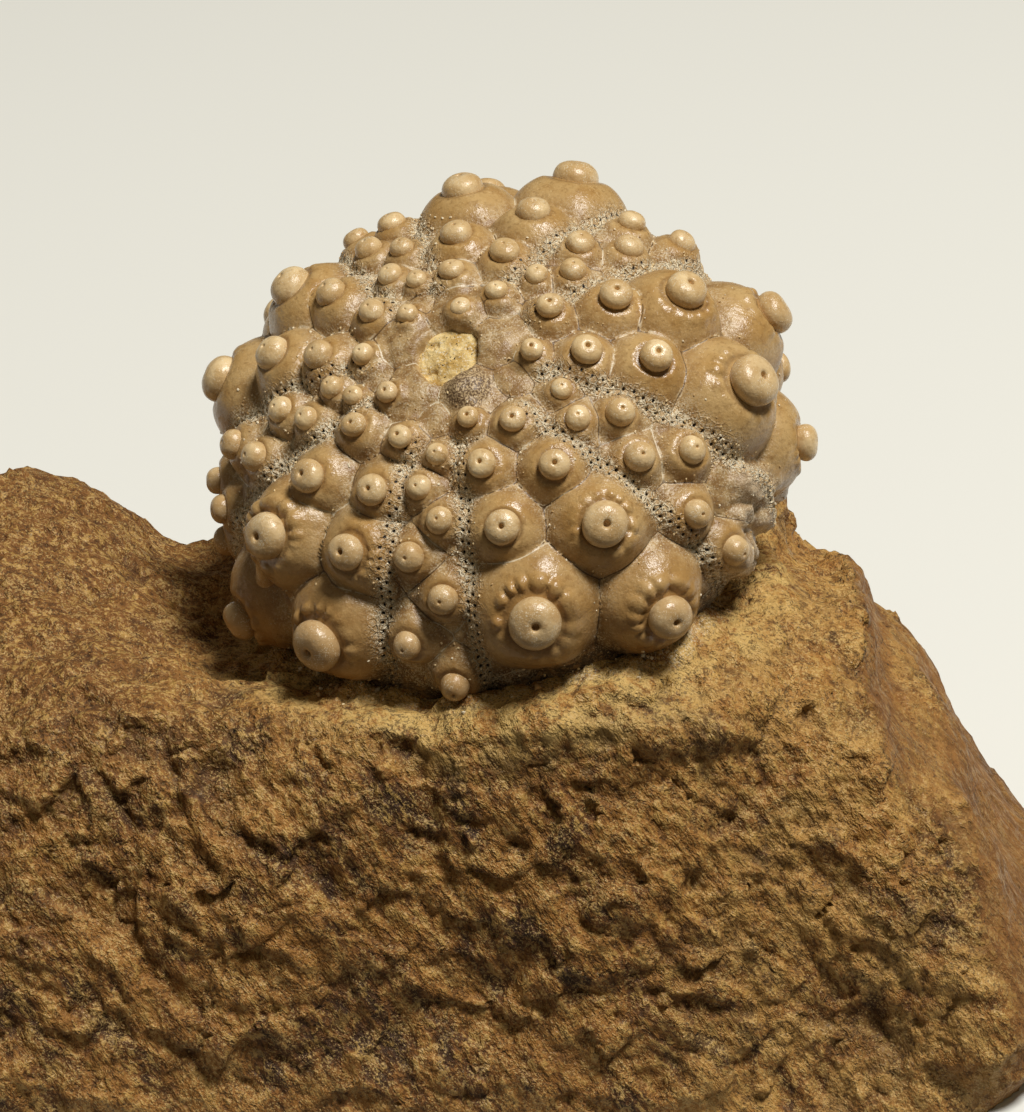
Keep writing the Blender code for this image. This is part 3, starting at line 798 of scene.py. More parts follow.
def make_sediment(material):
    """A rough plug that fills the opening round the pole."""
    rings, sectors = PLUG_RINGS, PLUG_SECTORS
    spots, faces = [], []
    axis_x, axis_y = TURN[:, 0], TURN[:, 1]
    middle = APEX + PERIPROCT_SHIFT @ TURN[:, :2].T
    for ring in range(1, rings + 1):
        for sector in range(sectors):
            angle = math.tau * sector / sectors
            radius = ring / rings * (periproct_edge(angle) + 0.05 * MM)
            spots.append(middle + radius * (math.cos(angle) * axis_x + math.sin(angle) * axis_y))
    spots = np.array(spots)
    radii = np.linalg.norm(spots - middle, axis=1)
    height = -PLUG_SINK - 0.35 * MM * (radii / PERIPROCT_RADIUS) ** 2
    height += 0.12 * MM * layered(spots, 1.1 * MM, 4, 71, 0.62)
    holes = grain(spots, 0.55 * MM, 81)
    height -= 0.22 * MM * smoothstep(0.45, 0.7, holes)
    top = spots + height[:, None] * POLE
    bottom = spots[-sectors:] - PLUG_DEPTH * POLE
    points = np.concatenate((top, bottom, [middle - PLUG_SINK * POLE, middle - PLUG_DEPTH * POLE]))
    for sector in range(sectors):
        after = (sector + 1) % sectors
        faces.append((sector, after, len(points) - 2))
        for ring in range(rings):
            low = ring * sectors
            faces.append((low + sector, low + sectors + sector, low + sectors + after, low + after))
        faces.append((rings * sectors + after, rings * sectors + sector, len(points) - 1))
    made = new_mesh_object("sediment_plug", points, faces, material)
    orient_outward(made)
    return made


# ---- the block

ROCK_VOXEL = 0.63 * MM
HUG_RANGE = 1.5 * MM            # rock nearer to the test than this closes up to it

# Grooves, cracks and hollows in the face that shows: the line that each one follows,
# across and up from the test's middle in the view, its width and its depth, in mm.
GROOVES = (
    (((-22.7, -18.2), (-22.2, -20.2), (-21.9, -22.0), (-21.4, -24.2), (-20.6, -25.3), (-19.2, -27.3)),
     0.45, 1.0),
    (((-19.4, -20.9), (-18.7, -22.4), (-18.0, -24.2), (-17.4, -25.7), (-15.9, -26.5)), 0.75, 1.2),
    (((-27.0, -20.7), (-26.5, -22.2), (-25.6, -23.3)), 0.55, 0.9),
    (((-33.4, -38.4), (-31.6, -37.7), (-30.0, -38.7), (-28.2, -39.2), (-26.9, -38.4)), 0.55, 0.9),
    (((-26.0, -37.3), (-24.5, -38.9), (-23.2, -39.7)), 0.45, 0.7),
    (((-20.0, -36.9), (-17.4, -37.0)), 0.35, 0.6),
    (((-15.6, -40.2), (-13.4, -40.9)), 0.7, 0.5),
    (((-7.4, -19.7), (-6.0, -19.7), (-4.0, -20.7), (-1.2, -21.5)), 0.6, 0.7),
    (((-30.0, -23.7), (-28.6, -22.4)), 0.5, 0.5),
    (((-30.9, -18.4), (-29.4, -17.3)), 0.6, 0.5),
    (((-0.5, -25.3), (1.1, -26.4)), 0.55, 0.8),
    (((3.1, -18.4), (3.0, -22.0), (3.2, -23.7)), 0.28, 0.55),
    (((3.0, -22.0), (6.8, -22.2)), 0.28, 0.5),
    (((6.8, -22.2), (8.8, -23.3)), 0.8, 1.1),
    (((11.1, -22.3), (15.1, -23.7), (16.2, -25.3)), 0.28, 0.45),
    (((14.2, -17.5), (17.1, -18.2), (17.3, -18.7)), 0.35, 0.6),
    (((15.1, -14.0), (16.8, -13.7)), 0.5, 0.4),
    (((11.1, -27.1), (13.1, -27.7)), 1.1, 0.6),
    (((11.4, -33.4), (12.3, -32.7), (13.3, -33.4)), 0.7, 1.1),
    (((11.8, -34.2), (12.9, -34.3)), 1.0, 0.6),
    (((10.2, -36.0), (12.0, -36.9), (16.0, -37.1)), 0.55, 0.8),
    (((22.0, -38.7), (26.6, -39.1)), 1.3, 0.9),
    (((23.1, -40.2), (24.8, -40.7)), 1.1, 0.6),
    (((2.8, -25.1), (3.1, -28.4)), 0.3, 0.4),
    (((3.8, -40.2), (5.3, -41.3)), 0.7, 0.6),
)
SADDLES = ((-20.5, -4.6, 4.0, 1.8), (20.8, -5.8, 2.4, 1.0))     # across, up, reach and depth
SWELL_UP = -18.2 * MM           # a swell along the crest in front of the test
SWELL_REACH = 2.3 * MM
SWELL_DEPTH = 1.3 * MM
BROAD_RELIEF = 0.50 * MM
RIDGE_RELIEF = 0.16 * MM
GRAIN_RELIEF = 0.18 * MM
FINE_RELIEF = 0.11 * MM
LARGE_CHIPS = (4.0 * MM, 150, 141)      # span, points of the mesh to a chip, and seed
SMALL_CHIPS = (1.6 * MM, 26, 145)
LOW_END_RISE = 1.6 * MM
OVERLAP = 0.08                  # how far the rock that closes up to the test runs under it, in mm
GRAIN_TURN = math.radians(58)   # how far the grain is turned about the y axis
STREAK_TURN = np.array(Matrix.Rotation(GRAIN_TURN, 3, "Y"))


def rock_base():
    """An even mesh of the block, finer on the faces that show."""
    item = put_in_scene("broken_rock", bpy.data.meshes.new("broken_rock"))
    rock_copy.to_mesh(item.data)
    step = item.modifiers.new("even", "REMESH")
    step.mode = "VOXEL"
    step.voxel_size = ROCK_VOXEL
    graph = bpy.context.evaluated_depsgraph_get()
    even = bpy.data.meshes.new_from_object(item.evaluated_get(graph))
    item.modifiers.remove(step)
    bm = bmesh.new()
    bm.from_mesh(even)
    bm.normal_update()
    toward = Vector(TO_CAMERA)
    edges = set()
    for face in bm.faces:
        if face.normal.dot(toward) > 0.05 and face.calc_center_median().z > 1.0 * MM:
            edges.update(face.edges)
    bmesh.ops.subdivide_edges(bm, edges=list(edges), cuts=1, use_grid_fill=True)
    bmesh.ops.triangulate(bm, faces=[face for face in bm.faces if len(face.verts) > 4])
    bm.normal_update()
    bm.to_mesh(item.data)
    bm.free()
    return item


def streaked(points, stretch):
    """Coordinates squeezed along the way that the rock's grain runs."""
    return (points @ STREAK_TURN) / np.array((stretch, 1.0, 1.0))


def ridged(points, span, seed):
    return 0.5 - 2.0 * np.abs(grain(points, span, seed))


def chipped(points, span, each, seed):
    """Flat chips, one for each so many points, that tilt their own way and meet in small steps."""
    warped = points + 0.35 * span * shifts(points, 0.8 * span, 1, range(seed, seed + 3))
    tree = tree_of(points[(np.arange(len(points) // each) * 7919 * 13) % len(points)])
    height = np.zeros(len(points))
    for row, point in enumerate(warped):
        middle, index, _ = tree.find(point)
        tilt = np.array((math.sin(2.1 * index + seed), math.sin(3.7 * index), math.sin(5.3 * index + 1)))
        height[row] = (point - np.array(middle)) @ tilt
    return height


def groove_depth(points, normals):
    """Depth of the grooves at points on the face that shows, where each line wanders a little."""
    across, up = seen_at(points)
    across = across + 0.40 * MM * layered(points, 1.9 * MM, 4, 151, 0.6)
    up = up + 0.40 * MM * layered(points, 1.9 * MM, 4, 157, 0.6)
    total = np.zeros(len(points))
    for line, width, depth in GROOVES:
        nearest = np.full(len(points), 1e9)
        for (x, y), (end_x, end_y) in zip(line, line[1:]):
            run = np.array((end_x - x, end_y - y)) * MM
            part = ((across - x * MM) * run[0] + (up - y * MM) * run[1]) / (run @ run)
            part = np.clip(part, 0, 1)
            away = np.hypot(across - x * MM - part * run[0], up - y * MM - part * run[1])
            nearest = np.minimum(nearest, away)
        total = np.maximum(total, depth * MM * np.exp(-(nearest / (width * MM)) ** 2))
    kept = 0.20 + 0.45 * smoothstep(-0.5, 0.5, layered(points, 2.4 * MM, 2, 161))
    return total * kept * smoothstep(0.05, 0.35, normals @ TO_CAMERA)


def make_rock(material, shell):
    item = rock_base()
    points = vertex_array(item.data)
    normals = np.empty(3 * len(points))
    item.data.vertices.foreach_get("normal", normals)
    normals = normals.reshape(-1, 3)
    sheared = smoothstep(0.50, 0.75, normals[:, 0]) * smoothstep(18 * MM, 24 * MM, points[:, 0])
    broad = BROAD_RELIEF * layered(points, 8.0 * MM, 2, 101)
    broken = RIDGE_RELIEF * ridged(streaked(points, 2.6), 3.4 * MM, 111)
    broken += GRAIN_RELIEF * layered(streaked(points, 2.0), 2.2 * MM, 4, 121, 0.72)
    broken += 0.17 * np.clip(chipped(points, *LARGE_CHIPS), -2.0 * MM, 2.0 * MM)
    broken += 0.18 * np.clip(chipped(streaked(points, 1.5), *SMALL_CHIPS), -0.9 * MM, 0.9 * MM)
    broken += FINE_RELIEF * ridged(streaked(points, 1.6), 0.9 * MM, 131)
    grooves = groove_depth(points, normals)
    off_base = smoothstep(0.3 * MM, 3.0 * MM, points[:, 2])
    low_end = smoothstep(28 * MM, 34 * MM, points[:, 0]) * (1 - smoothstep(6 * MM, 16 * MM, points[:, 2]))
    broad += LOW_END_RISE * low_end
    across, up = seen_at(points)
    swell = np.exp(-((up - SWELL_UP) / SWELL_REACH) ** 2) * smoothstep(-6 * MM, 0.0, across)
    swell *= (1 - smoothstep(13 * MM, 19 * MM, across)) * smoothstep(0.0, 0.3, normals @ TO_CAMERA)
    broad += SWELL_DEPTH * swell * (1.0 + 0.6 * grain(points, 3.0 * MM, 171))
    for x, y, reach, depth in SADDLES:
        away = np.hypot(across - x * MM, 1.4 * (up - y * MM)) / (reach * MM)
        broad -= depth * MM * np.exp(-away ** 2) * smoothstep(0.1, 0.5, normals[:, 2])
    bumps = (broad + broken * (1 - 0.65 * sheared) - grooves) * off_base
    moved = points + normals * bumps[:, None]
    moved[:, 2] = np.maximum(moved[:, 2], 0.0)
    tree = BVHTree.FromPolygons(vertex_array(shell.data).tolist(),
                                [tuple(face.vertices) for face in shell.data.polygons])
    near_test = np.zeros(len(moved))
    for index, point in enumerate(moved):
        nearest, normal, _, distance = tree.find_nearest(Vector(point), 3.0 * MM)
        if nearest is None:
            continue
        outside = (Vector(point) - nearest).dot(normal) > 0
        near_test[index] = 1.0 - smoothstep(0.3 * MM, 3.0 * MM, distance)
        if distance < HUG_RANGE or not outside:
            goal = np.array(nearest - normal * OVERLAP * MM)
            share = 1.0 if not outside else float(1.0 - smoothstep(0.7 * MM, HUG_RANGE, distance))
            moved[index] += share * (goal - moved[index])
    item.data.vertices.foreach_set("co", moved.ravel())
    item.data.materials.append(material)
    item.data.shade_smooth()
    item.data.update()
    local = (points - CENTRE) @ TURN / np.array((TEST_RADIUS, TEST_RADIUS, APICAL_HEIGHT))
    around = 1.0 - smoothstep(0.03, 0.48, np.linalg.norm(local, axis=1) - 1.0)
    # Masks for the material; hollow marks where it paints shade in the hollows and grooves.
    set_attribute(item, "hollow", 1.0 - smoothstep(-0.80 * MM, -0.10 * MM, broken - 1.7 * grooves))
    set_attribute(item, "around test", around)
    set_attribute(item, "upward", smoothstep(0.15, 0.85, normals[:, 2]))
    set_attribute(item, "sheared", sheared)
    set_attribute(item, "near test", near_test)
    return item


# ---- grit

GRIT_DENSITY = 9.0e6            # grains per square metre, and their least and greatest radius
GRIT_SIZES = (0.04 * MM, 0.12 * MM)
RUBBLE_DENSITY = 2.6e6
RUBBLE_SIZES = (0.07 * MM, 0.24 * MM)


def grit_tree():
    """Scatters small grains over a surface, as thick as its attribute says."""
    tree = new_tree("grit on the pore zones", (
        ("Grain", "NodeSocketObject"), ("Grains per square metre", "NodeSocketFloat"),
        ("Least size", "NodeSocketFloat"), ("Greatest size", "NodeSocketFloat"),
        ("Finish", "NodeSocketMaterial")))
    given = add_node(tree, "NodeGroupInput").outputs
    spread = add_node(tree, "GeometryNodeDistributePointsOnFaces", {
        "Mesh": given["Geometry"], "Density": add_node(tree, "ShaderNodeMath", {
            0: named(tree, "grit"), 1: given["Grains per square metre"]}, operation="MULTIPLY").outputs[0],
        "Seed": 7})
    spin = add_node(tree, "FunctionNodeRandomValue", {
        "Min": (0.0, 0.0, 0.0), "Max": (math.tau,) * 3, "Seed": 3}, data_type="FLOAT_VECTOR")
    scale = add_node(tree, "FunctionNodeRandomValue", {
        2: given["Least size"], 3: given["Greatest size"], "Seed": 5}, data_type="FLOAT")
    form = add_node(tree, "GeometryNodeObjectInfo", {"Object": given["Grain"]})
    put = add_node(tree, "GeometryNodeInstanceOnPoints", {
        "Points": spread.outputs["Points"], "Instance": form.outputs["Geometry"],
        "Rotation": add_node(tree, "FunctionNodeEulerToRotation", {"Euler": spin.outputs[0]}).outputs[0],
        "Scale": scale.outputs[1]})
    return hand_out(tree, put.outputs[0], given["Finish"])


def make_grain():
    """An angular grain of radius 1."""
    bm = bmesh.new()
    bmesh.ops.create_icosphere(bm, subdivisions=1, radius=1.0)
    for index, vert in enumerate(bm.verts):
        vert.co *= 1.0 + 0.25 * math.sin(4.1 * index)
        vert.co.z *= 0.7
    mesh = bpy.data.meshes.new("grain_form")
    bm.to_mesh(mesh)
    bm.free()
    return put_in_scene("grain_form", mesh)


def make_grit(tree, surface, thickness, material, name, density, sizes):
    form = make_grain()
    set_attribute(surface, "grit", thickness)
    made = run_tree(surface, tree, {
        "Grain": form, "Grains per square metre": density, "Least size": sizes[0],
        "Greatest size": sizes[1], "Finish": material}, name)
    surface.data.attributes.remove(surface.data.attributes["grit"])
    bpy.data.objects.remove(form, do_unlink=True)
    return made


# ---- materials

class Painter:
    """Adds shader nodes to one tree, and builds up a colour in it, coat over coat."""

    def __init__(self, tree):
        self.tree = tree
        self.colour = None

    def node(self, kind, inputs=None, **settings):
        return add_node(self.tree, kind, inputs, **settings)

    def place(self):
        return self.node("ShaderNodeTexCoord").outputs["Object"]

    def axis(self, letter):
        return self.node("ShaderNodeSeparateXYZ", {"Vector": self.place()}).outputs[letter]

    def attributes(self, *names):
        return [self.node("ShaderNodeAttribute", attribute_name=name).outputs["Fac"] for name in names]

    def math(self, operation, one, other):
        return self.node("ShaderNodeMath", {0: one, 1: other}, operation=operation).outputs[0]

    def times(self, product, *factors):
        for factor in factors:
            product = self.math("MULTIPLY", product, factor)
        return product

    def rest(self, *factors):
        """What a product leaves of 1."""
        return self.math("SUBTRACT", 1.0, self.times(*factors))

    def ramp(self, value, low, high):
        """0 below low, 1 above high, and a smooth step between them."""
        return self.node("ShaderNodeMapRange", {"Value": value, "From Min": low, "From Max": high},
                         interpolation_type="SMOOTHSTEP").outputs["Result"]

    def fall(self, value, low, high):
        """The same step downwards."""
        return self.rest(self.ramp(value, low, high))

    def linear(self, value, low, high, start=0.0, end=1.0):
        """From low to high as the value goes from start to end."""
        return self.node("ShaderNodeMapRange", {
            "Value": value, "From Min": start, "From Max": end, "To Min": low,
            "To Max": high}).outputs["Result"]

    def noise(self, span, detail=3.0, roughness=0.55, vector=None):
        """Noise from 0 to 1 with lumps about span across."""
        return self.node("ShaderNodeTexNoise", {
            "Vector": vector or self.place(), "Scale": 1.0 / span, "Detail": detail,
            "Roughness": roughness}).outputs["Fac"]

    def patches(self, span, low, high, *settings):
        """Noise with its step between low and high."""
        return self.ramp(self.noise(span, *settings), low, high)

    def cells(self, span, feature="F1"):
        return self.node("ShaderNodeTexVoronoi", {
            "Vector": self.place(), "Scale": 1.0 / span}, feature=feature).outputs

    def specks(self, size, coverage, patch_size):
        return self.node("ShaderNodeGroup", {
            "Size": size, "Coverage": coverage, "Patch Size": patch_size}, node_tree=SPECKS).outputs["Mask"]

    def along_grain(self, stretch):
        """Object coordinates squeezed along the way that the rock's grain runs."""
        return self.node("ShaderNodeMapping", {
            "Vector": self.place(), "Rotation": (0.0, GRAIN_TURN, 0.0), "Scale": (stretch, 1.0, 1.0)},
            vector_type="TEXTURE").outputs["Vector"]

    def blend(self, share, one, other):
        """Mixes two colours, each a tuple or a socket."""
        one, other = (value if isinstance(value, bpy.types.NodeSocket) else (*value, 1.0)
                      for value in (one, other))
        return self.node("ShaderNodeMix", {0: share, 6: one, 7: other}, data_type="RGBA").outputs[2]

    def mottled(self, one, other, *patches):
        """One colour with patches of another."""
        return self.blend(self.patches(*patches), one, other)

    def coat(self, tone, *shares):
        """Lays a tone over the colour, as thick as the product of the shares."""
        self.colour = self.blend(self.math("MINIMUM", self.times(*shares), 1.0), self.colour, tone)

    def stain_and_shade_below(self, tone, share):
        """Browns the colour from the test's middle down to its foot: a soil stain, and also painted shade on
        the lower side, away from the lamp above.
        """
        self.coat(tone, self.fall(self.axis("Z"), CENTRE[2] - 8 * MM, CENTRE[2] + 6 * MM), share)

    def bump(self, height, distance, below=None):
        """Relief on its own or over another bump."""
        inputs = {"Height": height, "Distance": distance, "Strength": 1.0}
        if below is not None:
            inputs["Normal"] = below
        return self.node("ShaderNodeBump", inputs).outputs["Normal"]

    def finish(self, roughness, normal=None, base=None):
        """Joins what was made to the material's shader."""
        shader = self.tree.nodes["Principled BSDF"].inputs
        if base:
            shader["Base Color"].default_value = (*base, 1.0)
        for label, value in (("Base Color", self.colour), ("Roughness", roughness), ("Normal", normal)):
            if isinstance(value, bpy.types.NodeSocket):
                self.tree.links.new(value, shader[label])
            elif value is not None:
                shader[label].default_value = value


def new_material(name):
    made = bpy.data.materials.new(name)
    made.use_nodes = True
    return made, Painter(made.node_tree)


def speck_group():
    """Shader group: sparse specks of one size, with their places, as a mask."""
    tree = bpy.data.node_groups.new("specks", "ShaderNodeTree")
    for label in ("Size", "Coverage", "Patch Size"):
        tree.interface.new_socket(label, in_out="INPUT", socket_type="NodeSocketFloat")
    tree.interface.new_socket("Mask", in_out="OUTPUT", socket_type="NodeSocketFloat")
    paint = Painter(tree)
    given = paint.node("NodeGroupInput").outputs
    fine = paint.node("ShaderNodeTexNoise", {
        "Vector": paint.place(), "Scale": paint.math("DIVIDE", 1.0, given["Size"]), "Detail": 2.0,
        "Roughness": 0.7}).outputs["Fac"]
    patch = paint.node("ShaderNodeTexNoise", {
        "Vector": paint.place(), "Scale": paint.math("DIVIDE", 1.0, given["Patch Size"]),
        "Detail": 1.0}).outputs["Fac"]
    level = paint.math("SUBTRACT", 0.72, paint.times(given["Coverage"], 0.5))
    lifted = paint.math("ADD", fine, paint.times(paint.math("SUBTRACT", patch, 0.5), 0.3))
    mask = paint.ramp(lifted, level, paint.math("ADD", level, 0.05))
    paint.node("NodeGroupOutput", {"Mask": mask})
    return tree


SPECKS = speck_group()

TAN = (0.45, 0.262, 0.086)
PALE_TAN = (0.56, 0.370, 0.155)
HONEY = (0.34, 0.168, 0.043)
BROWN = (0.23, 0.115, 0.034)
CHALK = (0.84, 0.74, 0.54)
PORE_SHADE = (0.018, 0.010, 0.006)


def calcite_material():
    """The test: waxy tan calcite, with speckled low ground, lacy pore zones and thin sutures."""
    made, paint = new_material("waxy tan calcite")
    low, zone, crust, edge, pore = paint.attributes("low ground", "pore zone", "crust", "edge", "pore")
    touching, madreporite, neck = paint.attributes("contact", "madreporite", "neck")
    paint.colour = paint.mottled(TAN, PALE_TAN, 3.4 * MM, 0.35, 0.65)
    paint.coat(HONEY, paint.patches(1.4 * MM, 0.50, 0.72, 4.0), 0.50)
    paint.coat(BROWN, paint.patches(0.36 * MM, 0.50, 0.66, 4.0, 0.68), 0.42)
    # Painted highlights: pale specks stand in for glints on the waxy calcite.
    paint.coat((0.72, 0.52, 0.26), paint.specks(0.16 * MM, 0.24, 1.8 * MM), 0.40)
    # Soil stain and painted shade: darker towards the bottom.
    paint.stain_and_shade_below((0.28, 0.138, 0.040), 0.45)
    # The low ground's own grainy colour, darker also as painted shade in the valleys between the bosses.
    ground = paint.mottled((0.26, 0.14, 0.048), (0.45, 0.30, 0.135), 0.8 * MM, 0.38, 0.62, 4.0)
    paint.coat(ground, low, 0.85)
    pale_lump = paint.mottled((0.36, 0.255, 0.15), (0.56, 0.42, 0.26), 1.2 * MM, 0.4, 0.6)
    paint.coat(pale_lump, crust, 0.85)
    ridge = paint.fall(paint.cells(0.40 * MM, "DISTANCE_TO_EDGE")["Distance"], 0.03, 0.15)
    net = paint.blend(ridge, (0.58, 0.400, 0.200), (0.95, 0.84, 0.60))
    paint.coat(net, paint.ramp(zone, 0.40, 0.85), 0.75)

    # Painted shade: the test is browned where it comes near the block.
    paint.coat((0.17, 0.082, 0.024), touching, 0.45)
    # Dark soil, and painted shade, in the low ground next to the block.
    contact = paint.times(touching, paint.ramp(low, 0.15, 0.6))
    soil_and_shade = paint.mottled((0.035, 0.020, 0.010), (0.20, 0.12, 0.05), 0.5 * MM, 0.45, 0.62, 4.0)
    paint.coat(soil_and_shade, contact, 0.95)
    dusty = paint.math("MAXIMUM", paint.math("MAXIMUM", zone, paint.times(crust, 0.3)), contact)
    dusty = paint.math("ADD", paint.times(low, 0.40), dusty)
    paint.coat((0.085, 0.045, 0.020), paint.specks(0.15 * MM, 0.14, 1.3 * MM), dusty, 0.6)
    paint.coat(CHALK, paint.specks(0.13 * MM, 0.36, 1.6 * MM), paint.rest(touching, 0.85), dusty, 0.9)

    off_zone = paint.rest(zone, 0.8)
    wavy = paint.math("ADD", edge, paint.times(paint.math("SUBTRACT", paint.noise(0.5 * MM), 0.5), 0.05))
    beside = paint.times(paint.ramp(edge, 0.04, 0.07), paint.fall(edge, 0.09, 0.15))
    paint.coat(CHALK, beside, paint.patches(0.9 * MM, 0.55, 0.64), off_zone, 0.5)
    tone = paint.mottled((0.075, 0.038, 0.016), CHALK, 3.4 * MM, 0.53, 0.60, 1.0)
    paint.coat(tone, paint.fall(wavy, 0.018, 0.052), off_zone, 0.75)
    stone = paint.mottled((0.15, 0.090, 0.045), (0.56, 0.41, 0.23), 0.13 * MM, 0.44, 0.58, 2.0)
    paint.coat(stone, madreporite)
    # Painted shade: a dark ring in the crease round each mamelon's foot.
    paint.coat((0.15, 0.075, 0.028), neck, 0.55)
    # Painted shade: the pore holes are near black.
    paint.coat(PORE_SHADE, paint.fall(pore, 0.075, 0.11))
    fine = paint.bump(paint.noise(0.34 * MM, 3.0, 0.66), 0.060 * MM)
    grit = paint.bump(paint.times(paint.noise(0.20 * MM, 2.0, 0.7), dusty), 0.13 * MM, fine)
    laced = paint.bump(paint.times(ridge, zone), 0.12 * MM, grit)
    paint.finish(paint.linear(dusty, 0.26, 0.58), laced, TAN)
    return made


def mamelon_material():
    """The mamelons: paler and smoother calcite than the bosses, with fine pits."""
    made, paint = new_material("worn satin calcite")
    paint.colour = paint.mottled((0.61, 0.410, 0.185), (0.82, 0.620, 0.340), 1.5 * MM, 0.35, 0.65)
    paint.coat((0.46, 0.270, 0.100), paint.patches(4.5 * MM, 0.42, 0.58, 0.0), 0.25)
    paint.coat(HONEY, paint.patches(0.45 * MM, 0.50, 0.72, 4.0), 0.40)
    # Soil stain and painted shade: darker towards the bottom.
    paint.stain_and_shade_below((0.38, 0.215, 0.085), 0.55)
    paint.coat(CHALK, paint.specks(0.10 * MM, 0.24, 1.2 * MM), 0.7)
    paint.finish(0.27, paint.bump(paint.noise(0.30 * MM, 3.0, 0.66), 0.055 * MM), (0.58, 0.42, 0.21))
    return made


def sediment_material():
    made, paint = new_material("yellow marly sediment")
    paint.colour = paint.mottled((0.56, 0.35, 0.095), (0.84, 0.64, 0.29), 0.9 * MM, 0.35, 0.65)
    paint.coat(CHALK, paint.specks(0.16 * MM, 0.30, 1.0 * MM), 0.8)
    paint.coat((0.045, 0.025, 0.012), paint.specks(0.20 * MM, 0.20, 1.2 * MM))
    paint.finish(0.9, paint.bump(paint.noise(0.25 * MM, 4.0, 0.7), 0.12 * MM))
    return made


def grit_material():
    """Each grain has one of three tones."""
    made, paint = new_material("loose calcite grit")
    pick = paint.node("ShaderNodeSeparateColor", {"Color": paint.cells(0.5 * MM)["Color"]}).outputs[0]
    paint.colour = paint.blend(paint.ramp(pick, 0.30, 0.45), (0.52, 0.340, 0.150), (0.76, 0.580, 0.310))
    paint.coat(CHALK, paint.ramp(pick, 0.70, 0.78))
    paint.finish(0.55)
    return made


OCHRE = (0.365, 0.164, 0.033)
RUST = (0.190, 0.072, 0.012)
STRAW = (0.640, 0.425, 0.140)
UMBER = (0.055, 0.023, 0.007)
SHEARED = (0.285, 0.118, 0.024)


def splintered(paint, span, stretch):
    """A height from 0 to 1 that falls away from the middles of angular chips, down to fine ones."""
    bent = paint.node("ShaderNodeTexNoise", {"Vector": paint.place(), "Scale": 0.7 / span, "Detail": 1.0})
    shift = paint.node("ShaderNodeVectorMath", {0: bent.outputs["Color"], 1: (0.9 * span,) * 3},
                       operation="MULTIPLY")
    moved = paint.node("ShaderNodeVectorMath", {0: paint.along_grain(stretch), 1: shift.outputs[0]},
                       operation="ADD")
    return paint.rest(paint.node("ShaderNodeTexVoronoi", {
        "Vector": moved.outputs[0], "Scale": 1.0 / span, "Detail": 1.0, "Roughness": 0.62},
        normalize=True).outputs["Distance"])


def rock_material():
    """Rough ochre limestone, with painted shade in its hollows, grooves and low places, painted light on
    upward faces, ridges and the right end, and straw colour round the test.
    """
    made, paint = new_material("rough ochre limestone")
    hollow, upward, sheared = paint.attributes("hollow", "upward", "sheared")
    near, around = paint.attributes("near test", "around test")
    grained, end = paint.along_grain(2.2), paint.axis("X")
    wide = paint.noise(3.2 * MM, 5.0, 0.74, grained)
    small = paint.noise(0.50 * MM, 3.0, 0.76, grained)
    chips = splintered(paint, 1.5 * MM, 1.8)
    paint.colour = paint.blend(paint.ramp(wide, 0.36, 0.48), UMBER, RUST)
    paint.coat(OCHRE, paint.ramp(wide, 0.43, 0.55))
    # Painted light: faces that look up are lighter, as if lit from above.
    paint.coat((0.45, 0.22, 0.046), upward, paint.patches(2.6 * MM, 0.36, 0.54, 4.0, 0.70), 0.5)
    # Straw colour round the test, partly painted light on the crest in front of it.
    paint.coat(STRAW, paint.patches(1.9 * MM, 0.43, 0.55, 4.0, 0.72), paint.ramp(around, 0.12, 0.72))
    # Painted shade: upward faces at the left end are darkened.
    paint.coat(RUST, paint.fall(end, -26 * MM, -13 * MM), upward, 0.75)
    # Painted light on the right end, which faces the lamp.
    right_end_light = paint.patches(3.0 * MM, 0.40, 0.58, 3.0, 0.7)
    paint.coat((0.54, 0.31, 0.085), paint.ramp(end, 8 * MM, 18 * MM), right_end_light, 0.60)
    smooth_face = paint.mottled(RUST, SHEARED, 1.6 * MM, 0.40, 0.60, 4.0, 0.65, paint.along_grain(4.0))
    paint.coat(smooth_face, sheared, 0.8)
    rough_part = paint.rest(sheared, 0.6)
    # Painted highlights on the chips' raised middles and painted shade in their low parts, from the same
    # heights that the bumps use.
    ridge_light = paint.times(paint.ramp(small, 0.50, 0.60), paint.ramp(chips, 0.45, 0.75))
    paint.coat((0.60, 0.37, 0.110), ridge_light, rough_part, 0.75)
    deep = paint.math("MAXIMUM", paint.fall(small, 0.36, 0.47), paint.fall(chips, 0.32, 0.52))
    paint.coat(UMBER, deep, rough_part, 0.62)
    # Painted shade in the hollows and grooves.
    paint.coat(UMBER, hollow, 0.50)
    paint.coat((0.02, 0.014, 0.008), paint.specks(0.30 * MM, 0.16, 5.0 * MM), sheared, 0.85)
    paint.coat(CHALK, paint.specks(0.14 * MM, 0.34, 1.5 * MM), paint.ramp(near, 0.45, 0.85), 0.6)
    # Light flecks: lighter grains, also standing in for fine glints as painted highlights.
    paint.coat((0.74, 0.51, 0.195), paint.specks(0.17 * MM, 0.30, 1.8 * MM), rough_part, 0.50)
    paint.coat((0.035, 0.017, 0.006), paint.specks(0.20 * MM, 0.28, 2.2 * MM), rough_part, 0.60)
    coarse = paint.bump(paint.noise(3.2 * MM, 3.0, 0.74, grained), 0.8 * MM)
    flaked = paint.bump(paint.times(chips, rough_part), 0.55 * MM, coarse)
    paint.finish(paint.linear(small, 0.85, 0.42, 0.42, 0.60), paint.bump(small, 0.42 * MM, flaked), OCHRE)
    made.node_tree.nodes["Principled BSDF"].inputs["Specular IOR Level"].default_value = 0.45
    return made


# ---- floor, light and camera

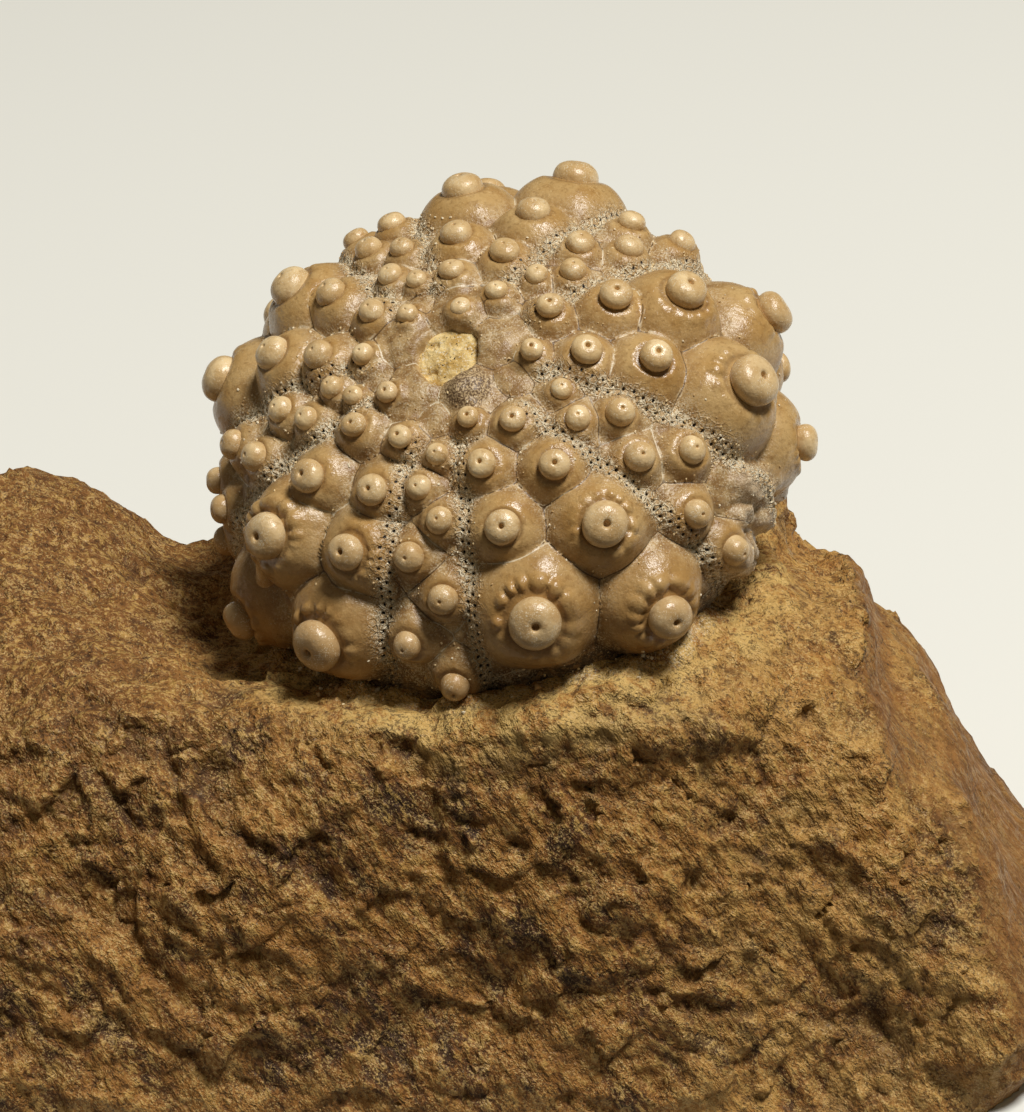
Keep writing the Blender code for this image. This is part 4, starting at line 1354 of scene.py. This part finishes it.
PAPER = (0.83, 0.835, 0.79)
PAPER_IN_SHADE = (0.06, 0.05, 0.04)
FLOOR_REACH = 3.0
FLOOR_GAP = 0.05 * MM
LAMP_OFFSET = (0.30, -0.24, 1.08)
LAMP_SIZE = 0.28
LAMP_WATTS = 14.2
LAMP_COLOUR = (1.0, 0.975, 0.93)
FILL_COLOUR = (1.0, 0.88, 0.64)
FILL_STRENGTH = 0.11


def make_stage():
    """Pale paper that throws light up behind the object and hardly any in front of it."""
    made, paint = new_material("pale backdrop paper")
    seen = paint.node("ShaderNodeLightPath").outputs["Is Camera Ray"]
    share = paint.math("MAXIMUM", paint.ramp(paint.axis("Y"), -0.05, 0.0), seen)
    paint.colour = paint.blend(share, PAPER_IN_SHADE, PAPER)
    paint.finish(0.95)
    corners = [(FLOOR_REACH * x, FLOOR_REACH * y, 0.0) for x, y in ((-1, -1), (1, -1), (1, 1), (-1, 1))]
    floor = new_mesh_object("floor", corners, [(0, 1, 2, 3)], made, smooth=False)
    floor.location.z = -FLOOR_GAP


def make_lights():
    """One square soft lamp aimed at the test's middle, and a warm even fill."""
    data = bpy.data.lights.new("key_lamp", "AREA")
    data.shape = "SQUARE"
    data.size = LAMP_SIZE
    data.energy = LAMP_WATTS
    data.color = LAMP_COLOUR
    lamp = put_in_scene("key_lamp", data)
    lamp.location = Vector(CENTRE) + Vector(LAMP_OFFSET)
    lamp.rotation_euler = (-Vector(LAMP_OFFSET)).to_track_quat("-Z", "Y").to_euler()
    world = bpy.data.worlds.new("soft studio")
    world.use_nodes = True
    fill = world.node_tree.nodes["Background"].inputs
    fill["Color"].default_value = (*FILL_COLOUR, 1.0)
    fill["Strength"].default_value = FILL_STRENGTH
    bpy.context.scene.world = world
    bpy.context.scene.view_settings.view_transform = "Standard"


def make_camera():
    data = bpy.data.cameras.new("camera")
    data.sensor_fit = "AUTO"
    data.sensor_width = SENSOR
    data.lens = SENSOR * FOCAL_PIXELS / FRAME_PIXELS
    data.clip_start = 0.01
    camera = put_in_scene("camera", data)
    right, down = (math.atan(pixels / FOCAL_PIXELS) for pixels in AIM_PIXELS)
    camera.location = Vector(CENTRE) + VIEW_DISTANCE * Vector(TO_CAMERA)
    camera.rotation_euler = (math.pi / 2 - VIEW_ELEVATION - down, 0.0, -right)
    bpy.context.scene.camera = camera


# ---- the whole object

def make_object():
    shell = make_shell(calcite_material())
    satin = mamelon_material()
    mamelons = make_mamelons(satin)
    pillar = make_pillar(satin)
    plug = make_sediment(sediment_material())
    rock = make_rock(rock_material(), shell)
    tree, finish = grit_tree(), grit_material()
    grit = make_grit(tree, shell, vertex_grit(shell), finish, "pore_zone_grit", GRIT_DENSITY, GRIT_SIZES)
    rubble = make_grit(tree, rock, contact_grit(rock), finish, "contact_grit", RUBBLE_DENSITY, RUBBLE_SIZES)
    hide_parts("urchin_test")
    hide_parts("periproct_sediment")
    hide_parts("matrix_rock")
    slots = {shell: "urchin_test", mamelons: "urchin_test", pillar: "urchin_test", grit: "urchin_test",
             plug: "periproct_sediment", rock: "matrix_rock", rubble: "matrix_rock"}
    for piece, slot in slots.items():
        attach(piece, "root")
        piece.data.calc_loop_triangles()
        print(piece.name, len(piece.data.loop_triangles), "triangles")


def contact_grit(rock):
    """How thick the rubble lies where the block meets the test."""
    points = vertex_array(rock.data)
    patch = smoothstep(-0.1, 0.5, layered(points, 2.4 * MM, 2, 95))
    facing = smoothstep(-2 * MM, 2 * MM, (points - CENTRE) @ TO_CAMERA + 4 * MM)
    return smoothstep(0.40, 0.85, read_attribute(rock, "near test")) * patch * facing


def vertex_grit(shell):
    """How thick the grit lies at each point of the shell."""
    points = vertex_array(shell.data)
    patch = smoothstep(-0.2, 0.5, layered(points, 3.0 * MM, 2, 91))
    seen = smoothstep(-0.6 * ORAL_DEPTH, -0.4 * ORAL_DEPTH, (points - CENTRE) @ POLE)
    zone = read_attribute(shell, "pore zone") * (0.3 + 0.7 * patch)
    granules = read_attribute(shell, "low ground") * (0.10 + 0.20 * patch)
    thick = np.maximum.reduce((zone, granules, 0.2 * read_attribute(shell, "crust") * patch))
    return thick * seen * (1.0 - 0.7 * read_attribute(shell, "contact"))


make_object()
make_stage()
make_lights()
make_camera()
